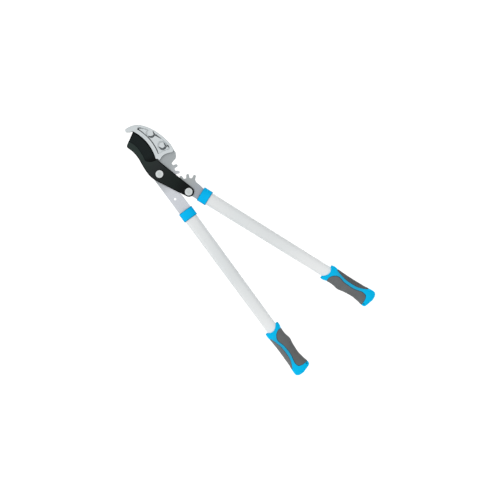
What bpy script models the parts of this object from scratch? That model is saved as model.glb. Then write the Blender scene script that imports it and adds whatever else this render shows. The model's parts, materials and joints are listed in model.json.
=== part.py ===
"""A geared bypass lopper, closed and lying flat, in metres and degrees.

The steel plate of the lower handle is tang, gear sector and hook in one. The blade turns on the main
pivot in front of it, and the blade's arm carries the gear pivot, where the plate of the upper handle
turns. The two gear sectors roll on each other, so the blade opens as the handles spread.

The plan is drawn round the main pivot, with the jaws towards +Y, the lower handle on the left and the
upper one on the right. Heights are counted from the middle of the handles. At the end the whole lopper
is set on the ground, with the origin under the middle of its bounding box.
"""

from collections import namedtuple
from math import acos, atan2, ceil, cos, degrees, radians, sin, sqrt, tan

import bmesh
import bpy
import numpy
from mathutils import Vector

# Fits
AIR = 0.0003                    # between pieces that touch, and round what turns or slides in
PAD_GAP = 0.0004                # groove round the pads

# Flat steel
PLATE_THICKNESS = 0.0045
PLATE_CHAMFER = 0.0004
BLADE_THICKNESS = 0.0050
EDGE_LAND = 0.0005              # what the grinding leaves of the blade at its cutting edge
COVER_THICKNESS = 0.0070

# Gear pair: two sectors of the same module
MODULE = 0.0054
LOWER_TEETH = 17                # on a full circle
UPPER_TEETH = 15
SECTOR_TEETH = 4                # cut on each plate
ADDENDUM = 0.0050
DEDENDUM = 0.0056
TOOTH_ROOT_WIDTH = 0.0084
TOOTH_TIP_WIDTH = 0.0064
TOOTH_ROUND = 0.0030
TOOTH_FILLET = 0.0018
LINK_ANGLE = -78.35             # from the main pivot to the gear pivot
MESH_LEAD = 6.7                 # how far the upper tooth in mesh stands before the line of centres

# Cutting edge: an arc that the hook's inner edge repeats. What follows the edge is placed by an angle
# about its centre and a distance beyond it.
EDGE_HEEL = Vector((0.0214, 0.0330))        # where it begins
CUT_RADIUS = 0.1106
CUT_HEEL = -31.8                # its first and last angles
CUT_TIP = 15.6
HOOK_TIP = 16.5                 # the cover follows the edge a little further
HOOK_THROAT = -36.0             # and the steel behind the blade further down
EDGE_OVERLAP = 0.0035           # how far that steel reaches behind the closed blade

# Blade outline, placed by the edge down to its hub
BLADE_NOTCH = (-32.8, 0.0048)
ARM_SHOULDER = (-34.7, 0.0057)
BLADE_TIP = (16.5, -0.0002)
BLADE_TIP_ROUND = 0.0010
BLADE_BACK = (14.6, -0.0428)
BLADE_BACK_ROUND = 0.0060
GRIND_LINE = [(-33.2, 0.0025), (-34.2, -0.0110), (-32.0, -0.0231), (-28.5, -0.0273), (-20.8, -0.0277),
              (-6.6, -0.0277), (0.2, -0.0271), (6.8, -0.0273), (13.8, -0.0278)]
GRIND_END = (15.6, -0.0260)     # where the ground zone's border meets the blade's end
SPINE = [(4.0, -0.0430), (-5.2, -0.0423), (-21.1, -0.0405), (-36.0, -0.0369), (-48.8, -0.0278)]
HUB_SIDE = [Vector((-0.0203, 0.0140)), Vector((-0.0193, 0.0000)), Vector((-0.0169, -0.0101))]
ARM_END_RADIUS = 0.0130
ARM_END_SHIFT = Vector((0.0006, 0.0000))   # of its centre from the gear pivot

# Hook outline and the cover on it, placed by the edge
HOOK_BACK = [(-28.5, 0.0512), (-22.4, 0.0483), (-15.3, 0.0433), (-5.8, 0.0365), (3.2, 0.0303),
             (11.7, 0.0236), (18.7, 0.0152), (23.9, 0.0055)]
HOOK_NOSE = [(26.3, -0.0004), (27.0, -0.0032), (26.2, -0.0064), (24.8, -0.0086), (22.3, -0.0077),
             (19.2, -0.0048), (17.3, -0.0012)]
COVER_FOOT = [(-34.8, 0.0088), (-31.6, 0.0158), (-29.7, 0.0250), (-29.4, 0.0350), (-29.8, 0.0440)]
COVER_HEEL = (-32.3, 0.0051)
COVER_ROUND = 0.0010
PLATE_INSET = 0.0006            # the steel keeps inside the cover's outline
RIDGE_WIDTH = 0.0095            # between the cutting edge and the pocket
RIM_WIDTH = 0.0055              # round the pocket's back
POCKET_DEPTH = 0.0036
POCKET_DRAFT = 0.0018
POCKET_TOP = 13.4               # angles along the ridge
POCKET_BOTTOM = -26.8
POCKET_FOOT = [(-26.0, 0.0258), (-26.1, 0.0432)]
POCKET_FOOT_ROUNDS = [0.0100, 0.0040]
POCKET_HEAD = (13.2, 0.0150)
POCKET_ROUND = 0.0025
BOSS_PLACES = {"tip": (-1.6, 0.0230), "heel": (-19.8, 0.0277)}
BOSS_RADII = {"tip": 0.0078, "heel": 0.0076}   # of their flat tops
BOSS_DRAFT = 0.0046
RIVET_DIAMETER = 0.0050
RIVET_IN_BOSS = 0.0045
RIVET_HEAD_DIAMETER = 0.0092
RIVET_HEAD_HEIGHT = 0.0014
RIVET_HEAD_FLAT = 0.0058        # diameter of its flat top

# Lower plate between the teeth and the hook, and its hub, throat and hanging hole
SHOULDER = [(Vector((0.0410, -0.0028)), 0.0018), (Vector((0.0578, -0.0023)), 0.0015),
            (Vector((0.0615, 0.0006)), 0.0015), (Vector((0.0683, 0.0083)), 0.0020)]
HUB_RADIUS = 0.0194
TANG_THROAT = Vector((0.0008, -0.0680))
TANG_THROAT_ROUND = 0.0100
HANGING_HOLE_DIAMETER = 0.0060
HANGING_HOLE_ALONG = 0.0740
HANGING_HOLE_ACROSS = -0.0036

# Upper plate round the gear pivot
UPPER_HUB_RADIUS = 0.0125
RECESS_RADIUS = 0.0308          # room for the lower plate's shoulder when the lopper is wide open
RECESS_ANGLE = 6.5
WAIST_ALONG = 0.0135
WAIST_ACROSS = -0.0176
NECK_ROUND = 0.0030

# Pivot bolts
BOLT_DIAMETER = 0.0100
BOLT_STANDOUT = 0.00145         # below the nut
BOLT_HEAD_DIAMETER = 0.0196
BOLT_HEAD_HEIGHT = 0.0032
BOLT_CHAMFER = 0.0011
WASHER_DIAMETER = 0.0226
WASHER_THICKNESS = 0.0010
SPRING_WASHER_DIAMETER = 0.0180
SPRING_WASHER_THICKNESS = 0.0022
SPRING_WASHER_GAP = 14.0
NUT_FLATS = 0.0170
NUT_HEIGHT = 0.0080
NUT_CHAMFER = 0.0010

# Handles, each built along its own axis
HANDLE_SPREAD = 10.94           # of each handle from the centre line
TUBE_THICKNESS = 0.0200
TUBE_WALL = 0.0015
TUBE_MOUTH_WIDTH = 0.0346       # the oval tube tapers from its mouth
TUBE_END_WIDTH = 0.0314
TUBE_SQUARENESS = 2.3           # exponent of the oval, where 2 is an ellipse
COLLAR_LENGTH = 0.0248
COLLAR_WALL = 0.0018
COLLAR_NOSE = 0.0050            # wall in front of the tube, with the tang's slot
COLLAR_ROUND = 0.0010
TANG_IN_TUBE = 0.0130           # half-width
TANG_DEPTH = 0.0400             # into the tube
INSERT_LENGTH = 0.0460
PIN_DIAMETER = 0.0050
PIN_DEPTH = 0.0090              # from the tube's mouth

Handle = namedtuple("Handle", "name pivot side offset collar grip tang_inner tang_outer")
LOWER_OFFSET = 0.0021           # how far the handle's axis passes outside its pivot
UPPER_OFFSET = 0.0120
LOWER_COLLAR = 0.1118           # where the collar begins along the axis
UPPER_COLLAR = 0.0278
LOWER_GRIP = 0.4765             # where the grip begins
UPPER_GRIP = 0.3965
LOWER_TANG = (0.0173, 0.0170)   # half-widths on the inner and outer side at the collar
UPPER_TANG = (0.0169, 0.0146)

# Grips, mirrored copies of one moulding: half-sizes at distances from the inner lip
GRIP_SOCKET = 0.0620
GRIP_INNER = [(0.000, 0.0212), (0.005, 0.0222), (0.010, 0.0219), (0.016, 0.0202), (0.024, 0.0195),
              (0.032, 0.0195), (0.040, 0.0205), (0.048, 0.0223), (0.055, 0.0227), (0.061, 0.0215),
              (0.068, 0.0204), (0.080, 0.0194), (0.090, 0.0189), (0.098, 0.0192), (0.106, 0.0207),
              (0.114, 0.0219), (0.120, 0.0236), (0.126, 0.0248), (0.131, 0.0249), (0.134, 0.0236),
              (0.1362, 0.0207), (0.1386, 0.0139), (0.141, 0.0054), (0.1428, 0.0008)]
GRIP_OUTER = [(0.008, 0.0212), (0.014, 0.0223), (0.020, 0.0222), (0.028, 0.0210), (0.036, 0.0205),
              (0.044, 0.0201), (0.052, 0.0196), (0.064, 0.0194), (0.080, 0.0193), (0.090, 0.0195),
              (0.100, 0.0196), (0.108, 0.0197), (0.116, 0.0208), (0.124, 0.0214), (0.131, 0.0216),
              (0.136, 0.0209), (0.139, 0.0193), (0.1412, 0.0164), (0.1428, 0.0122)]
GRIP_HEIGHT = [(0.000, 0.0137), (0.008, 0.0142), (0.020, 0.0136), (0.040, 0.0131), (0.055, 0.0134),
               (0.080, 0.0129), (0.100, 0.0132), (0.116, 0.0141), (0.126, 0.0145), (0.133, 0.0139),
               (0.138, 0.0120), (0.141, 0.0092), (0.1428, 0.0058)]
GRIP_SQUARENESS = 2.4
LIP_SLANT = 0.0080              # how far the outer lip stands behind the inner one
LIP_SCALLOP = 0.0095            # how far the rim is drawn back between them
LIP_ROUND = 0.0014
RIM_HOLLOW = 0.6                # size of the rim's hollow before the socket is cut, as a share of the rim
PAD_DEPTH = 0.0018
FINGER_PAD = [(0.0180, 0.0110), (0.0203, 0.0065), (0.0230, 0.0028), (0.0265, -0.0006), (0.0310, -0.0034),
              (0.0385, -0.0056), (0.0470, -0.0040), (0.0570, -0.0009), (0.0680, 0.0001), (0.0790, 0.0008),
              (0.0900, 0.0000), (0.1010, -0.0025), (0.1056, -0.0036), (0.1100, -0.0042), (0.1180, -0.0028),
              (0.1220, 0.0005), (0.1250, 0.0075)]
PALM_PAD = [(0.0265, -0.0178), (0.0310, -0.0163), (0.0385, -0.0138), (0.0470, -0.0113), (0.0570, -0.0090),
            (0.0680, -0.0080), (0.0790, -0.0078), (0.0900, -0.0083), (0.1010, -0.0107),
            (0.1056, -0.0124), (0.1100, -0.0142), (0.1180, -0.0178)]
LIP_STATIONS = [0.0014, 0.0050, 0.0100]
END_STATIONS = [0.1290, 0.1325, 0.1350, 0.1368, 0.1386, 0.1402, 0.1416, 0.1428]

# Fineness of the round shapes
ARC_TOLERANCE = 0.00004
ROUND_SHARE = 0.3               # where the middle row of points of a rounded edge lies
TURNED_SIDES = 24               # a multiple of six, for the nuts
OVAL_SIDES = 36
CURVE_STEPS = 3
PAD_SIDES = (4, 2, 3)           # on the finger side, the band and the palm side of each half

Look = namedtuple("Look", "colour metallic roughness")
STEEL = Look((0.36, 0.39, 0.41), 0.85, 0.45)
BLACK_COATING = Look((0.014, 0.020, 0.020), 0.25, 0.42)
SILVER_PAINT = Look((0.66, 0.70, 0.73), 0.55, 0.40)
ZINC = Look((0.58, 0.61, 0.60), 0.95, 0.32)
DARK_STEEL = Look((0.06, 0.065, 0.07), 0.80, 0.50)
WHITE_ENAMEL = Look((0.76, 0.79, 0.80), 0.0, 0.30)
BLUE_PLASTIC = Look((0.006, 0.36, 0.78), 0.0, 0.38)
GREY_RUBBER = Look((0.105, 0.112, 0.118), 0.0, 0.75)
WHITE_NYLON = Look((0.70, 0.70, 0.68), 0.0, 0.60)


# Plan geometry

def polar(centre, radius, angle):
    return centre + Vector((cos(radians(angle)), sin(radians(angle)))) * radius


def direction(vector):
    return degrees(atan2(vector.y, vector.x))


def left_of(vector):
    return Vector((-vector.y, vector.x)).normalized()


def arc(centre, radius, start, end):
    """Points on a circle from one angle to another, as many as keep the chords within tolerance."""
    step = 2 * degrees(acos(1 - ARC_TOLERANCE / radius))
    steps = max(2, ceil(abs(end - start) / step))
    return [polar(centre, radius, start + (end - start) * i / steps) for i in range(steps + 1)]


def circle(centre, diameter):
    return arc(centre, diameter / 2, 0, 360)[:-1]


def smooth(points):
    """Points along a Catmull-Rom curve through the given ones."""
    points = [Vector(point) for point in points]
    ends = [2 * points[0] - points[1], *points, 2 * points[-1] - points[-2]]
    curve = []
    for before, here, there, after in zip(ends, ends[1:], ends[2:], ends[3:]):
        for i in range(CURVE_STEPS):
            t = i / CURVE_STEPS
            curve.append(here + ((there - before) * t
                                 + (2 * before - 5 * here + 4 * there - after) * t ** 2
                                 + (3 * here - before - 3 * there + after) * t ** 3) / 2)
    return [*curve, points[-1]]


def spread(points, count):
    """Points at even distances along a run of others."""
    lengths = [(b - a).length for a, b in zip(points, points[1:])]
    travelled = [0, *numpy.cumsum(lengths)]
    places = numpy.linspace(0, travelled[-1], count)
    across = numpy.interp(places, travelled, [point.x for point in points])
    along = numpy.interp(places, travelled, [point.y for point in points])
    return [Vector(place) for place in zip(across, along)]


def fillet(before, corner, after, radius):
    """The arc that rounds a corner, smaller where a side is too short for it."""
    one = (before - corner).normalized()
    two = (after - corner).normalized()
    half = one.angle(two) / 2
    longest = 0.49 * min((before - corner).length, (after - corner).length)
    reach = min(radius / tan(half), longest)
    centre = corner + (one + two).normalized() * reach / cos(half)
    start = direction(corner + one * reach - centre)
    turn = (direction(corner + two * reach - centre) - start + 180) % 360 - 180
    return arc(centre, reach * tan(half), start, start + turn)


def rounded(corners):
    """A closed outline through plain points and (point, radius) corners."""
    corners = [corner if isinstance(corner, tuple) else (corner, 0) for corner in corners]
    outline = []
    for i, (corner, radius) in enumerate(corners):
        if radius:
            outline += fillet(corners[i - 1][0], corner, corners[(i + 1) % len(corners)][0], radius)
        else:
            outline.append(corner)
    return outline


def parallel(points, distance, closed=False):
    """The outline moved to its left, which is inwards where it runs counter-clockwise."""
    moved = []
    for i, point in enumerate(points):
        before = points[i - 1] if i or closed else None
        after = points[(i + 1) % len(points)] if i + 1 < len(points) or closed else None
        came = left_of(point - before) if before else left_of(after - point)
        goes = left_of(after - point) if after else came
        middle = (came + goes).normalized()
        moved.append(point + middle * distance / middle.dot(goes))
    return moved


def touch(point, centre, radius, side):
    """The angle at which a line from a point outside touches a circle, on its left (1) or right (-1)."""
    away = point - centre
    return direction(away) + side * degrees(acos(radius / away.length))


MAIN_PIVOT = Vector((0, 0))
CUT_CENTRE = polar(EDGE_HEEL, -CUT_RADIUS, CUT_HEEL)
LOWER_PITCH = MODULE * LOWER_TEETH / 2
UPPER_PITCH = MODULE * UPPER_TEETH / 2
GEAR_PIVOT = polar(MAIN_PIVOT, LOWER_PITCH + UPPER_PITCH, LINK_ANGLE)
LOWER = Handle("lower", MAIN_PIVOT, -1, LOWER_OFFSET, LOWER_COLLAR, LOWER_GRIP, *LOWER_TANG)
UPPER = Handle("upper", GEAR_PIVOT, 1, UPPER_OFFSET, UPPER_COLLAR, UPPER_GRIP, *UPPER_TANG)

PLATE_TOP = PLATE_THICKNESS / 2
BLADE_BOTTOM = PLATE_TOP + AIR
BLADE_TOP = BLADE_BOTTOM + BLADE_THICKNESS
COVER_TOP = BLADE_BOTTOM + COVER_THICKNESS
WASHER_BOTTOM = BLADE_TOP + AIR
HEAD_BOTTOM = WASHER_BOTTOM + WASHER_THICKNESS + AIR
SPRING_WASHER_TOP = -PLATE_TOP - AIR
NUT_TOP = SPRING_WASHER_TOP - SPRING_WASHER_THICKNESS - AIR
BOLT_END = NUT_TOP - NUT_HEIGHT - BOLT_STANDOUT


def by_edge(places):
    """Plan points from angles about the cutting edge's centre and distances beyond the edge."""
    return [polar(CUT_CENTRE, CUT_RADIUS + beyond, angle) for angle, beyond in places]


def boss_centre(name):
    return by_edge([BOSS_PLACES[name]])[0]


def beside(handle, along, across):
    """The plan point at a place along a handle's axis and across it, its inner side positive."""
    angle = radians(HANDLE_SPREAD)
    down = Vector((handle.side * sin(angle), -cos(angle)))
    out = Vector((handle.side * cos(angle), sin(angle)))
    return handle.pivot + down * along + out * (handle.offset - across)


def tube_start(handle):
    return handle.collar + COLLAR_NOSE + AIR


def tube_end(handle):
    return handle.grip + GRIP_SOCKET - AIR


def pin_place(handle):
    return tube_start(handle) + PIN_DEPTH


# Outlines of the flat pieces, counter-clockwise

def sector(pivot, pitch, full_circle, first):
    """Corners of one sector's teeth, from the first tooth's angle on."""
    corners = []
    for i in range(SECTOR_TEETH):
        angle = first + i * 360 / full_circle
        root = polar(pivot, pitch - DEDENDUM, angle)
        tip = polar(pivot, pitch + ADDENDUM, angle)
        across = left_of(tip - root)
        corners += [(root - across * TOOTH_ROOT_WIDTH / 2, TOOTH_FILLET),
                    (tip - across * TOOTH_TIP_WIDTH / 2, TOOTH_ROUND),
                    (tip + across * TOOTH_TIP_WIDTH / 2, TOOTH_ROUND),
                    (root + across * TOOTH_ROOT_WIDTH / 2, TOOTH_FILLET)]
    return corners


def tang(handle):
    """Corners of the tang, from the collar's mouth on the inner side round to the outer side."""
    mouth = handle.collar - AIR
    step = handle.collar + COLLAR_NOSE - 2 * AIR
    end = tube_start(handle) + TANG_DEPTH
    places = [(mouth, handle.tang_inner), (step, handle.tang_inner), (step, TANG_IN_TUBE),
              (end, TANG_IN_TUBE), (end, -TANG_IN_TUBE), (step, -TANG_IN_TUBE),
              (step, -handle.tang_outer), (mouth, -handle.tang_outer)]
    return [beside(handle, along, across) for along, across in places]


def lower_plate_outline():
    pitch_angle = 360 / LOWER_TEETH
    gap_in_mesh = LINK_ANGLE + MESH_LEAD * UPPER_TEETH / LOWER_TEETH
    root = polar(MAIN_PIVOT, LOWER_PITCH - DEDENDUM, gap_in_mesh - pitch_angle)
    teeth = sector(MAIN_PIVOT, LOWER_PITCH, LOWER_TEETH, gap_in_mesh - pitch_angle / 2)
    hook = parallel(smooth(by_edge(HOOK_BACK + HOOK_NOSE)), PLATE_INSET)
    throat = arc(CUT_CENTRE, CUT_RADIUS - EDGE_OVERLAP, CUT_TIP, HOOK_THROAT)
    hub_start = touch(throat[-1], MAIN_PIVOT, HUB_RADIUS, 1)
    hub = arc(MAIN_PIVOT, HUB_RADIUS, hub_start, 180 - HANDLE_SPREAD)
    return rounded([*reversed(tang(LOWER)), (TANG_THROAT, TANG_THROAT_ROUND), root, *teeth, *SHOULDER,
                    *hook, *throat, *hub])


def upper_plate_outline():
    pitch_angle = 360 / UPPER_TEETH
    tooth_in_mesh = LINK_ANGLE + 180 - MESH_LEAD
    recess = polar(GEAR_PIVOT, RECESS_RADIUS, RECESS_ANGLE)
    teeth = sector(GEAR_PIVOT, UPPER_PITCH, UPPER_TEETH, tooth_in_mesh - (SECTOR_TEETH - 1) * pitch_angle)
    root = polar(GEAR_PIVOT, UPPER_PITCH - DEDENDUM, tooth_in_mesh + pitch_angle / 2)
    neck_along = sqrt(UPPER_HUB_RADIUS ** 2 - (UPPER.tang_inner - UPPER.offset) ** 2)
    neck = beside(UPPER, neck_along, UPPER.tang_inner)
    hub_end = direction(neck - GEAR_PIVOT) - degrees(NECK_ROUND / UPPER_HUB_RADIUS)
    hub = arc(GEAR_PIVOT, UPPER_HUB_RADIUS, touch(root, GEAR_PIVOT, UPPER_HUB_RADIUS, 1), hub_end % 360)
    return rounded([*tang(UPPER), beside(UPPER, WAIST_ALONG, WAIST_ACROSS), (recess, TOOTH_FILLET), *teeth,
                    (root, TOOTH_FILLET), *hub, (neck, NECK_ROUND)])


def blade_outlines():
    """The full outline and the one that the grinding leaves at the top, point for point."""
    shoulder, notch, tip, grind_end, back = by_edge([ARM_SHOULDER, BLADE_NOTCH, BLADE_TIP, GRIND_END,
                                                     BLADE_BACK])
    spine = smooth([*by_edge(SPINE), *HUB_SIDE])
    arm_end = GEAR_PIVOT + ARM_END_SHIFT
    arm = arc(arm_end, ARM_END_RADIUS, touch(spine[-1], arm_end, ARM_END_RADIUS, 1),
              360 + touch(shoulder, arm_end, ARM_END_RADIUS, -1))
    edge = arc(CUT_CENTRE, CUT_RADIUS, CUT_HEEL, CUT_TIP)
    edge += fillet(edge[-1], tip, grind_end, BLADE_TIP_ROUND)
    ground = spread(smooth([notch, *by_edge(GRIND_LINE), grind_end]), len(edge) + 2)[1:-1]
    before = [*arm, shoulder, notch]
    after = [grind_end, *fillet(grind_end, back, spine[0], BLADE_BACK_ROUND), *spine[1:]]
    return [*before, *edge, *after], [*before, *ground, *after]


def cover_outline():
    back = smooth(by_edge(HOOK_BACK + HOOK_NOSE))
    foot = smooth([*by_edge(COVER_FOOT), back[0]])[:-1]
    edge = arc(CUT_CENTRE, CUT_RADIUS + AIR, HOOK_TIP, CUT_HEEL)
    blade_edge = arc(CUT_CENTRE, CUT_RADIUS, CUT_HEEL, CUT_TIP)
    heel = parallel([*by_edge([BLADE_NOTCH]), *blade_edge[:2]], -AIR)[1]
    return [*foot, *back, *edge[:-1], heel, *by_edge([COVER_HEEL])]


def pocket_outline():
    ridge = CUT_RADIUS + RIDGE_WIDTH
    edge = arc(CUT_CENTRE, ridge, POCKET_TOP, POCKET_BOTTOM)
    back = parallel(smooth(by_edge(HOOK_BACK[1:6])), RIM_WIDTH)
    foot = zip(by_edge(POCKET_FOOT), POCKET_FOOT_ROUNDS)
    head = by_edge([POCKET_HEAD])[0]
    return rounded([*foot, *back, (head, POCKET_ROUND), (edge[0], POCKET_ROUND), *edge[1:-1],
                    (edge[-1], POCKET_ROUND)])


# Closed meshes

def prism(levels, holes=(), origin=MAIN_PIVOT):
    """A body through stacked (height, outline) levels of equal counts, with straight holes in it."""
    mesh = bmesh.new()
    ends = levels[0][0], levels[-1][0]
    rims = {end: [] for end in ends}
    for wall in [levels, *[[(end, hole) for end in ends] for hole in holes]]:
        rows = [[mesh.verts.new((*(point - origin), height)) for point in outline]
                for height, outline in wall]
        for low, high in zip(rows, rows[1:]):
            for i in range(len(low)):
                mesh.faces.new((low[i - 1], low[i], high[i], high[i - 1]))
        for end, row in zip(ends, (rows[0], rows[-1])):
            rims[end] += [mesh.edges.get((row[i - 1], row[i])) for i in range(len(row))]
    for rim in rims.values():
        bmesh.ops.triangle_fill(mesh, use_beauty=True, edges=rim)
    return mesh


def skin(rings, looped=False):
    """A body through rings of equal counts, capped at both ends or joined into a loop."""
    mesh = bmesh.new()
    rows = [[mesh.verts.new(point) for point in ring] for ring in rings]
    for one, two in zip(rows, rows[1:] + rows[:1] if looped else rows[1:]):
        for i in range(len(one)):
            mesh.faces.new((one[i - 1], one[i], two[i], two[i - 1]))
    if not looped:
        mesh.faces.new(rows[0])
        mesh.faces.new(rows[-1])
    return mesh


def turned(profile, looped=False):
    """A body turned round the vertical axis from (radius, height) points."""
    angles = [360 * i / TURNED_SIDES for i in range(TURNED_SIDES)]
    return skin([[(*polar(MAIN_PIVOT, radius, angle), height) for angle in angles]
                 for radius, height in profile], looped)


def box(low, high):
    mesh = bmesh.new()
    bmesh.ops.create_cube(mesh, size=1)
    for vertex in mesh.verts:
        vertex.co = [low[i] if vertex.co[i] < 0 else high[i] for i in range(3)]
    return mesh


def plate(outline, holes, origin=MAIN_PIVOT):
    inner = parallel(outline, PLATE_CHAMFER, closed=True)
    levels = [(-PLATE_TOP, inner), (-PLATE_TOP + PLATE_CHAMFER, outline),
              (PLATE_TOP - PLATE_CHAMFER, outline), (PLATE_TOP, inner)]
    return prism(levels, holes, origin)


def oval(half_width, half_height, along, squareness=TUBE_SQUARENESS, sides=OVAL_SIDES):
    """A ring round a handle's axis, in the handle's own frame."""
    ring = []
    for i in range(sides):
        across = cos(radians(360 * i / sides))
        up = sin(radians(360 * i / sides))
        ring.append((half_width * bulge(across, squareness), -along, half_height * bulge(up, squareness)))
    return ring


def bulge(share, squareness):
    """A cosine or sine turned into the matching share of a squarer oval."""
    return abs(share) ** (2 / squareness) * (1 if share > 0 else -1)


# Objects

def empty(name, parent, place):
    frame = bpy.data.objects.new(name, None)
    frame.empty_display_size = 0.02
    frame.location = (*place, 0)
    frame.parent = parent
    bpy.context.collection.objects.link(frame)
    return frame


def look_material(name, look):
    material = bpy.data.materials.new(name)
    material.use_nodes = True
    shader = material.node_tree.nodes["Principled BSDF"]
    shader.inputs["Base Color"].default_value = (*look.colour, 1)
    shader.inputs["Metallic"].default_value = look.metallic
    shader.inputs["Roughness"].default_value = look.roughness
    material.diffuse_color = (*look.colour, 1)
    return material


def add(name, mesh, parent, look=None, location=(0, 0, 0), turn=0):
    """Make an object from a mesh, shaded smooth where it is round."""
    bmesh.ops.remove_doubles(mesh, verts=mesh.verts, dist=1e-6)
    bmesh.ops.recalc_face_normals(mesh, faces=mesh.faces)
    data = bpy.data.meshes.new(name)
    mesh.to_mesh(data)
    mesh.free()
    data.shade_smooth()
    data.set_sharp_from_angle(angle=radians(35))
    if look:
        data.materials.append(look_material(name, look))
    piece = bpy.data.objects.new(name, data)
    piece.parent = parent
    piece.location = location
    piece.rotation_euler.z = radians(turn)
    bpy.context.collection.objects.link(piece)
    return piece


def cut(piece, cutter_mesh, name):
    """Take a shape out of a piece whose frame it shares."""
    cutter = add(name, cutter_mesh, piece.parent, location=piece.location,
                 turn=degrees(piece.rotation_euler.z))
    cutter.hide_render = True
    cutter.display_type = "WIRE"
    modifier = piece.modifiers.new(name, "BOOLEAN")
    modifier.operation = "DIFFERENCE"
    modifier.solver = "EXACT"
    modifier.object = cutter
    return cutter


# Jaws and plates

def counter_plate(body):
    holes = [circle(MAIN_PIVOT, BOLT_DIAMETER + 2 * AIR),
             circle(beside(LOWER, HANGING_HOLE_ALONG, HANGING_HOLE_ACROSS), HANGING_HOLE_DIAMETER),
             circle(beside(LOWER, pin_place(LOWER), 0), PIN_DIAMETER + 2 * AIR)]
    holes += [circle(boss_centre(name), RIVET_DIAMETER + 2 * AIR) for name in BOSS_PLACES]
    add("counter_plate", plate(lower_plate_outline(), holes), body, STEEL)


def gear_plate(body):
    holes = [circle(GEAR_PIVOT, BOLT_DIAMETER + 2 * AIR),
             circle(beside(UPPER, pin_place(UPPER), 0), PIN_DIAMETER + 2 * AIR)]
    add("gear_plate", plate(upper_plate_outline(), holes, GEAR_PIVOT), body, STEEL)


def blade(body):
    full, ground = blade_outlines()
    holes = [circle(pivot, BOLT_DIAMETER + 2 * AIR) for pivot in (MAIN_PIVOT, GEAR_PIVOT)]
    levels = [(BLADE_BOTTOM, full), (BLADE_BOTTOM + EDGE_LAND, full), (BLADE_TOP, ground)]
    add("blade", prism(levels, holes), body, BLACK_COATING)


def hook_cover(body):
    outline = cover_outline()
    edge = COVER_ROUND * ROUND_SHARE
    levels = [(BLADE_BOTTOM, outline), (COVER_TOP - COVER_ROUND, outline),
              (COVER_TOP - edge, parallel(outline, edge, closed=True)),
              (COVER_TOP, parallel(outline, COVER_ROUND, closed=True))]
    cover = add("hook_cover", prism(levels), body, SILVER_PAINT)

    floor = COVER_TOP - POCKET_DEPTH
    above = COVER_TOP + POCKET_DEPTH
    mouth = pocket_outline()
    foot = parallel(mouth, POCKET_DRAFT, closed=True)
    pocket = cut(cover, prism([(floor, foot), (COVER_TOP, mouth), (above, mouth)]), "pocket")
    for name, radius in BOSS_RADII.items():
        centre = boss_centre(name)
        wide = circle(centre, 2 * (radius + BOSS_DRAFT))
        narrow = parallel(wide, BOSS_DRAFT, closed=True)
        cut(pocket, prism([(floor - POCKET_DEPTH, wide), (floor, wide), (COVER_TOP, narrow),
                           (above + POCKET_DEPTH, narrow)]), f"boss_{name}")
        bore = circle(centre, RIVET_DIAMETER + 2 * AIR)
        cut(cover, prism([(0, bore), (BLADE_BOTTOM + RIVET_IN_BOSS + AIR, bore)]), f"rivet_hole_{name}")


def cover_rivet(name, body):
    head = SPRING_WASHER_TOP - RIVET_HEAD_HEIGHT
    profile = [(RIVET_HEAD_FLAT / 2, head), (RIVET_HEAD_DIAMETER / 2, SPRING_WASHER_TOP - AIR),
               (RIVET_HEAD_DIAMETER / 2, SPRING_WASHER_TOP), (RIVET_DIAMETER / 2, SPRING_WASHER_TOP),
               (RIVET_DIAMETER / 2, BLADE_BOTTOM + RIVET_IN_BOSS)]
    add(f"cover_rivet_{name}", turned(profile), body, ZINC, location=(*boss_centre(name), 0))


# Pivot hardware, the same for both pivots

def pivot_hardware(name, body, place):
    location = (*(place - MAIN_PIVOT), 0)
    shank = BOLT_DIAMETER / 2
    head = BOLT_HEAD_DIAMETER / 2
    top = HEAD_BOTTOM + BOLT_HEAD_HEIGHT
    edge = BOLT_CHAMFER * ROUND_SHARE
    bolt = [(shank - BOLT_CHAMFER, BOLT_END), (shank, BOLT_END + BOLT_CHAMFER), (shank, HEAD_BOTTOM),
            (head, HEAD_BOTTOM), (head, top - BOLT_CHAMFER), (head - edge, top - edge),
            (head - BOLT_CHAMFER, top)]
    add(f"{name}_bolt", turned(bolt), body, ZINC, location)

    bore = shank + AIR
    rim = WASHER_DIAMETER / 2
    washer = [(bore, WASHER_BOTTOM), (rim, WASHER_BOTTOM), (rim, WASHER_BOTTOM + WASHER_THICKNESS),
              (bore, WASHER_BOTTOM + WASHER_THICKNESS)]
    add(f"{name}_washer", turned(washer, looped=True), body, DARK_STEEL, location)

    split = arc(MAIN_PIVOT, SPRING_WASHER_DIAMETER / 2, SPRING_WASHER_GAP / 2, 360 - SPRING_WASHER_GAP / 2)
    split += arc(MAIN_PIVOT, bore, 360 - SPRING_WASHER_GAP / 2, SPRING_WASHER_GAP / 2)
    spring = prism([(SPRING_WASHER_TOP - SPRING_WASHER_THICKNESS, split), (SPRING_WASHER_TOP, split)])
    add(f"{name}_spring_washer", spring, body, ZINC, location)
    add(f"{name}_nut", nut(bore), body, ZINC, location)


def nut(bore):
    angles = [360 * i / TURNED_SIDES for i in range(TURNED_SIDES)]
    low = NUT_TOP - NUT_HEIGHT
    inscribed = NUT_FLATS / 2

    def hexagon(height):
        return [(*polar(MAIN_PIVOT, inscribed / cos(radians(angle % 60 - 30)), angle), height)
                for angle in angles]

    def ring(radius, height):
        return [(*polar(MAIN_PIVOT, radius, angle), height) for angle in angles]

    return skin([ring(bore, low), ring(inscribed, low), hexagon(low + NUT_CHAMFER),
                 hexagon(NUT_TOP - NUT_CHAMFER), ring(inscribed, NUT_TOP), ring(bore, NUT_TOP)], looped=True)


# Handles

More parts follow.
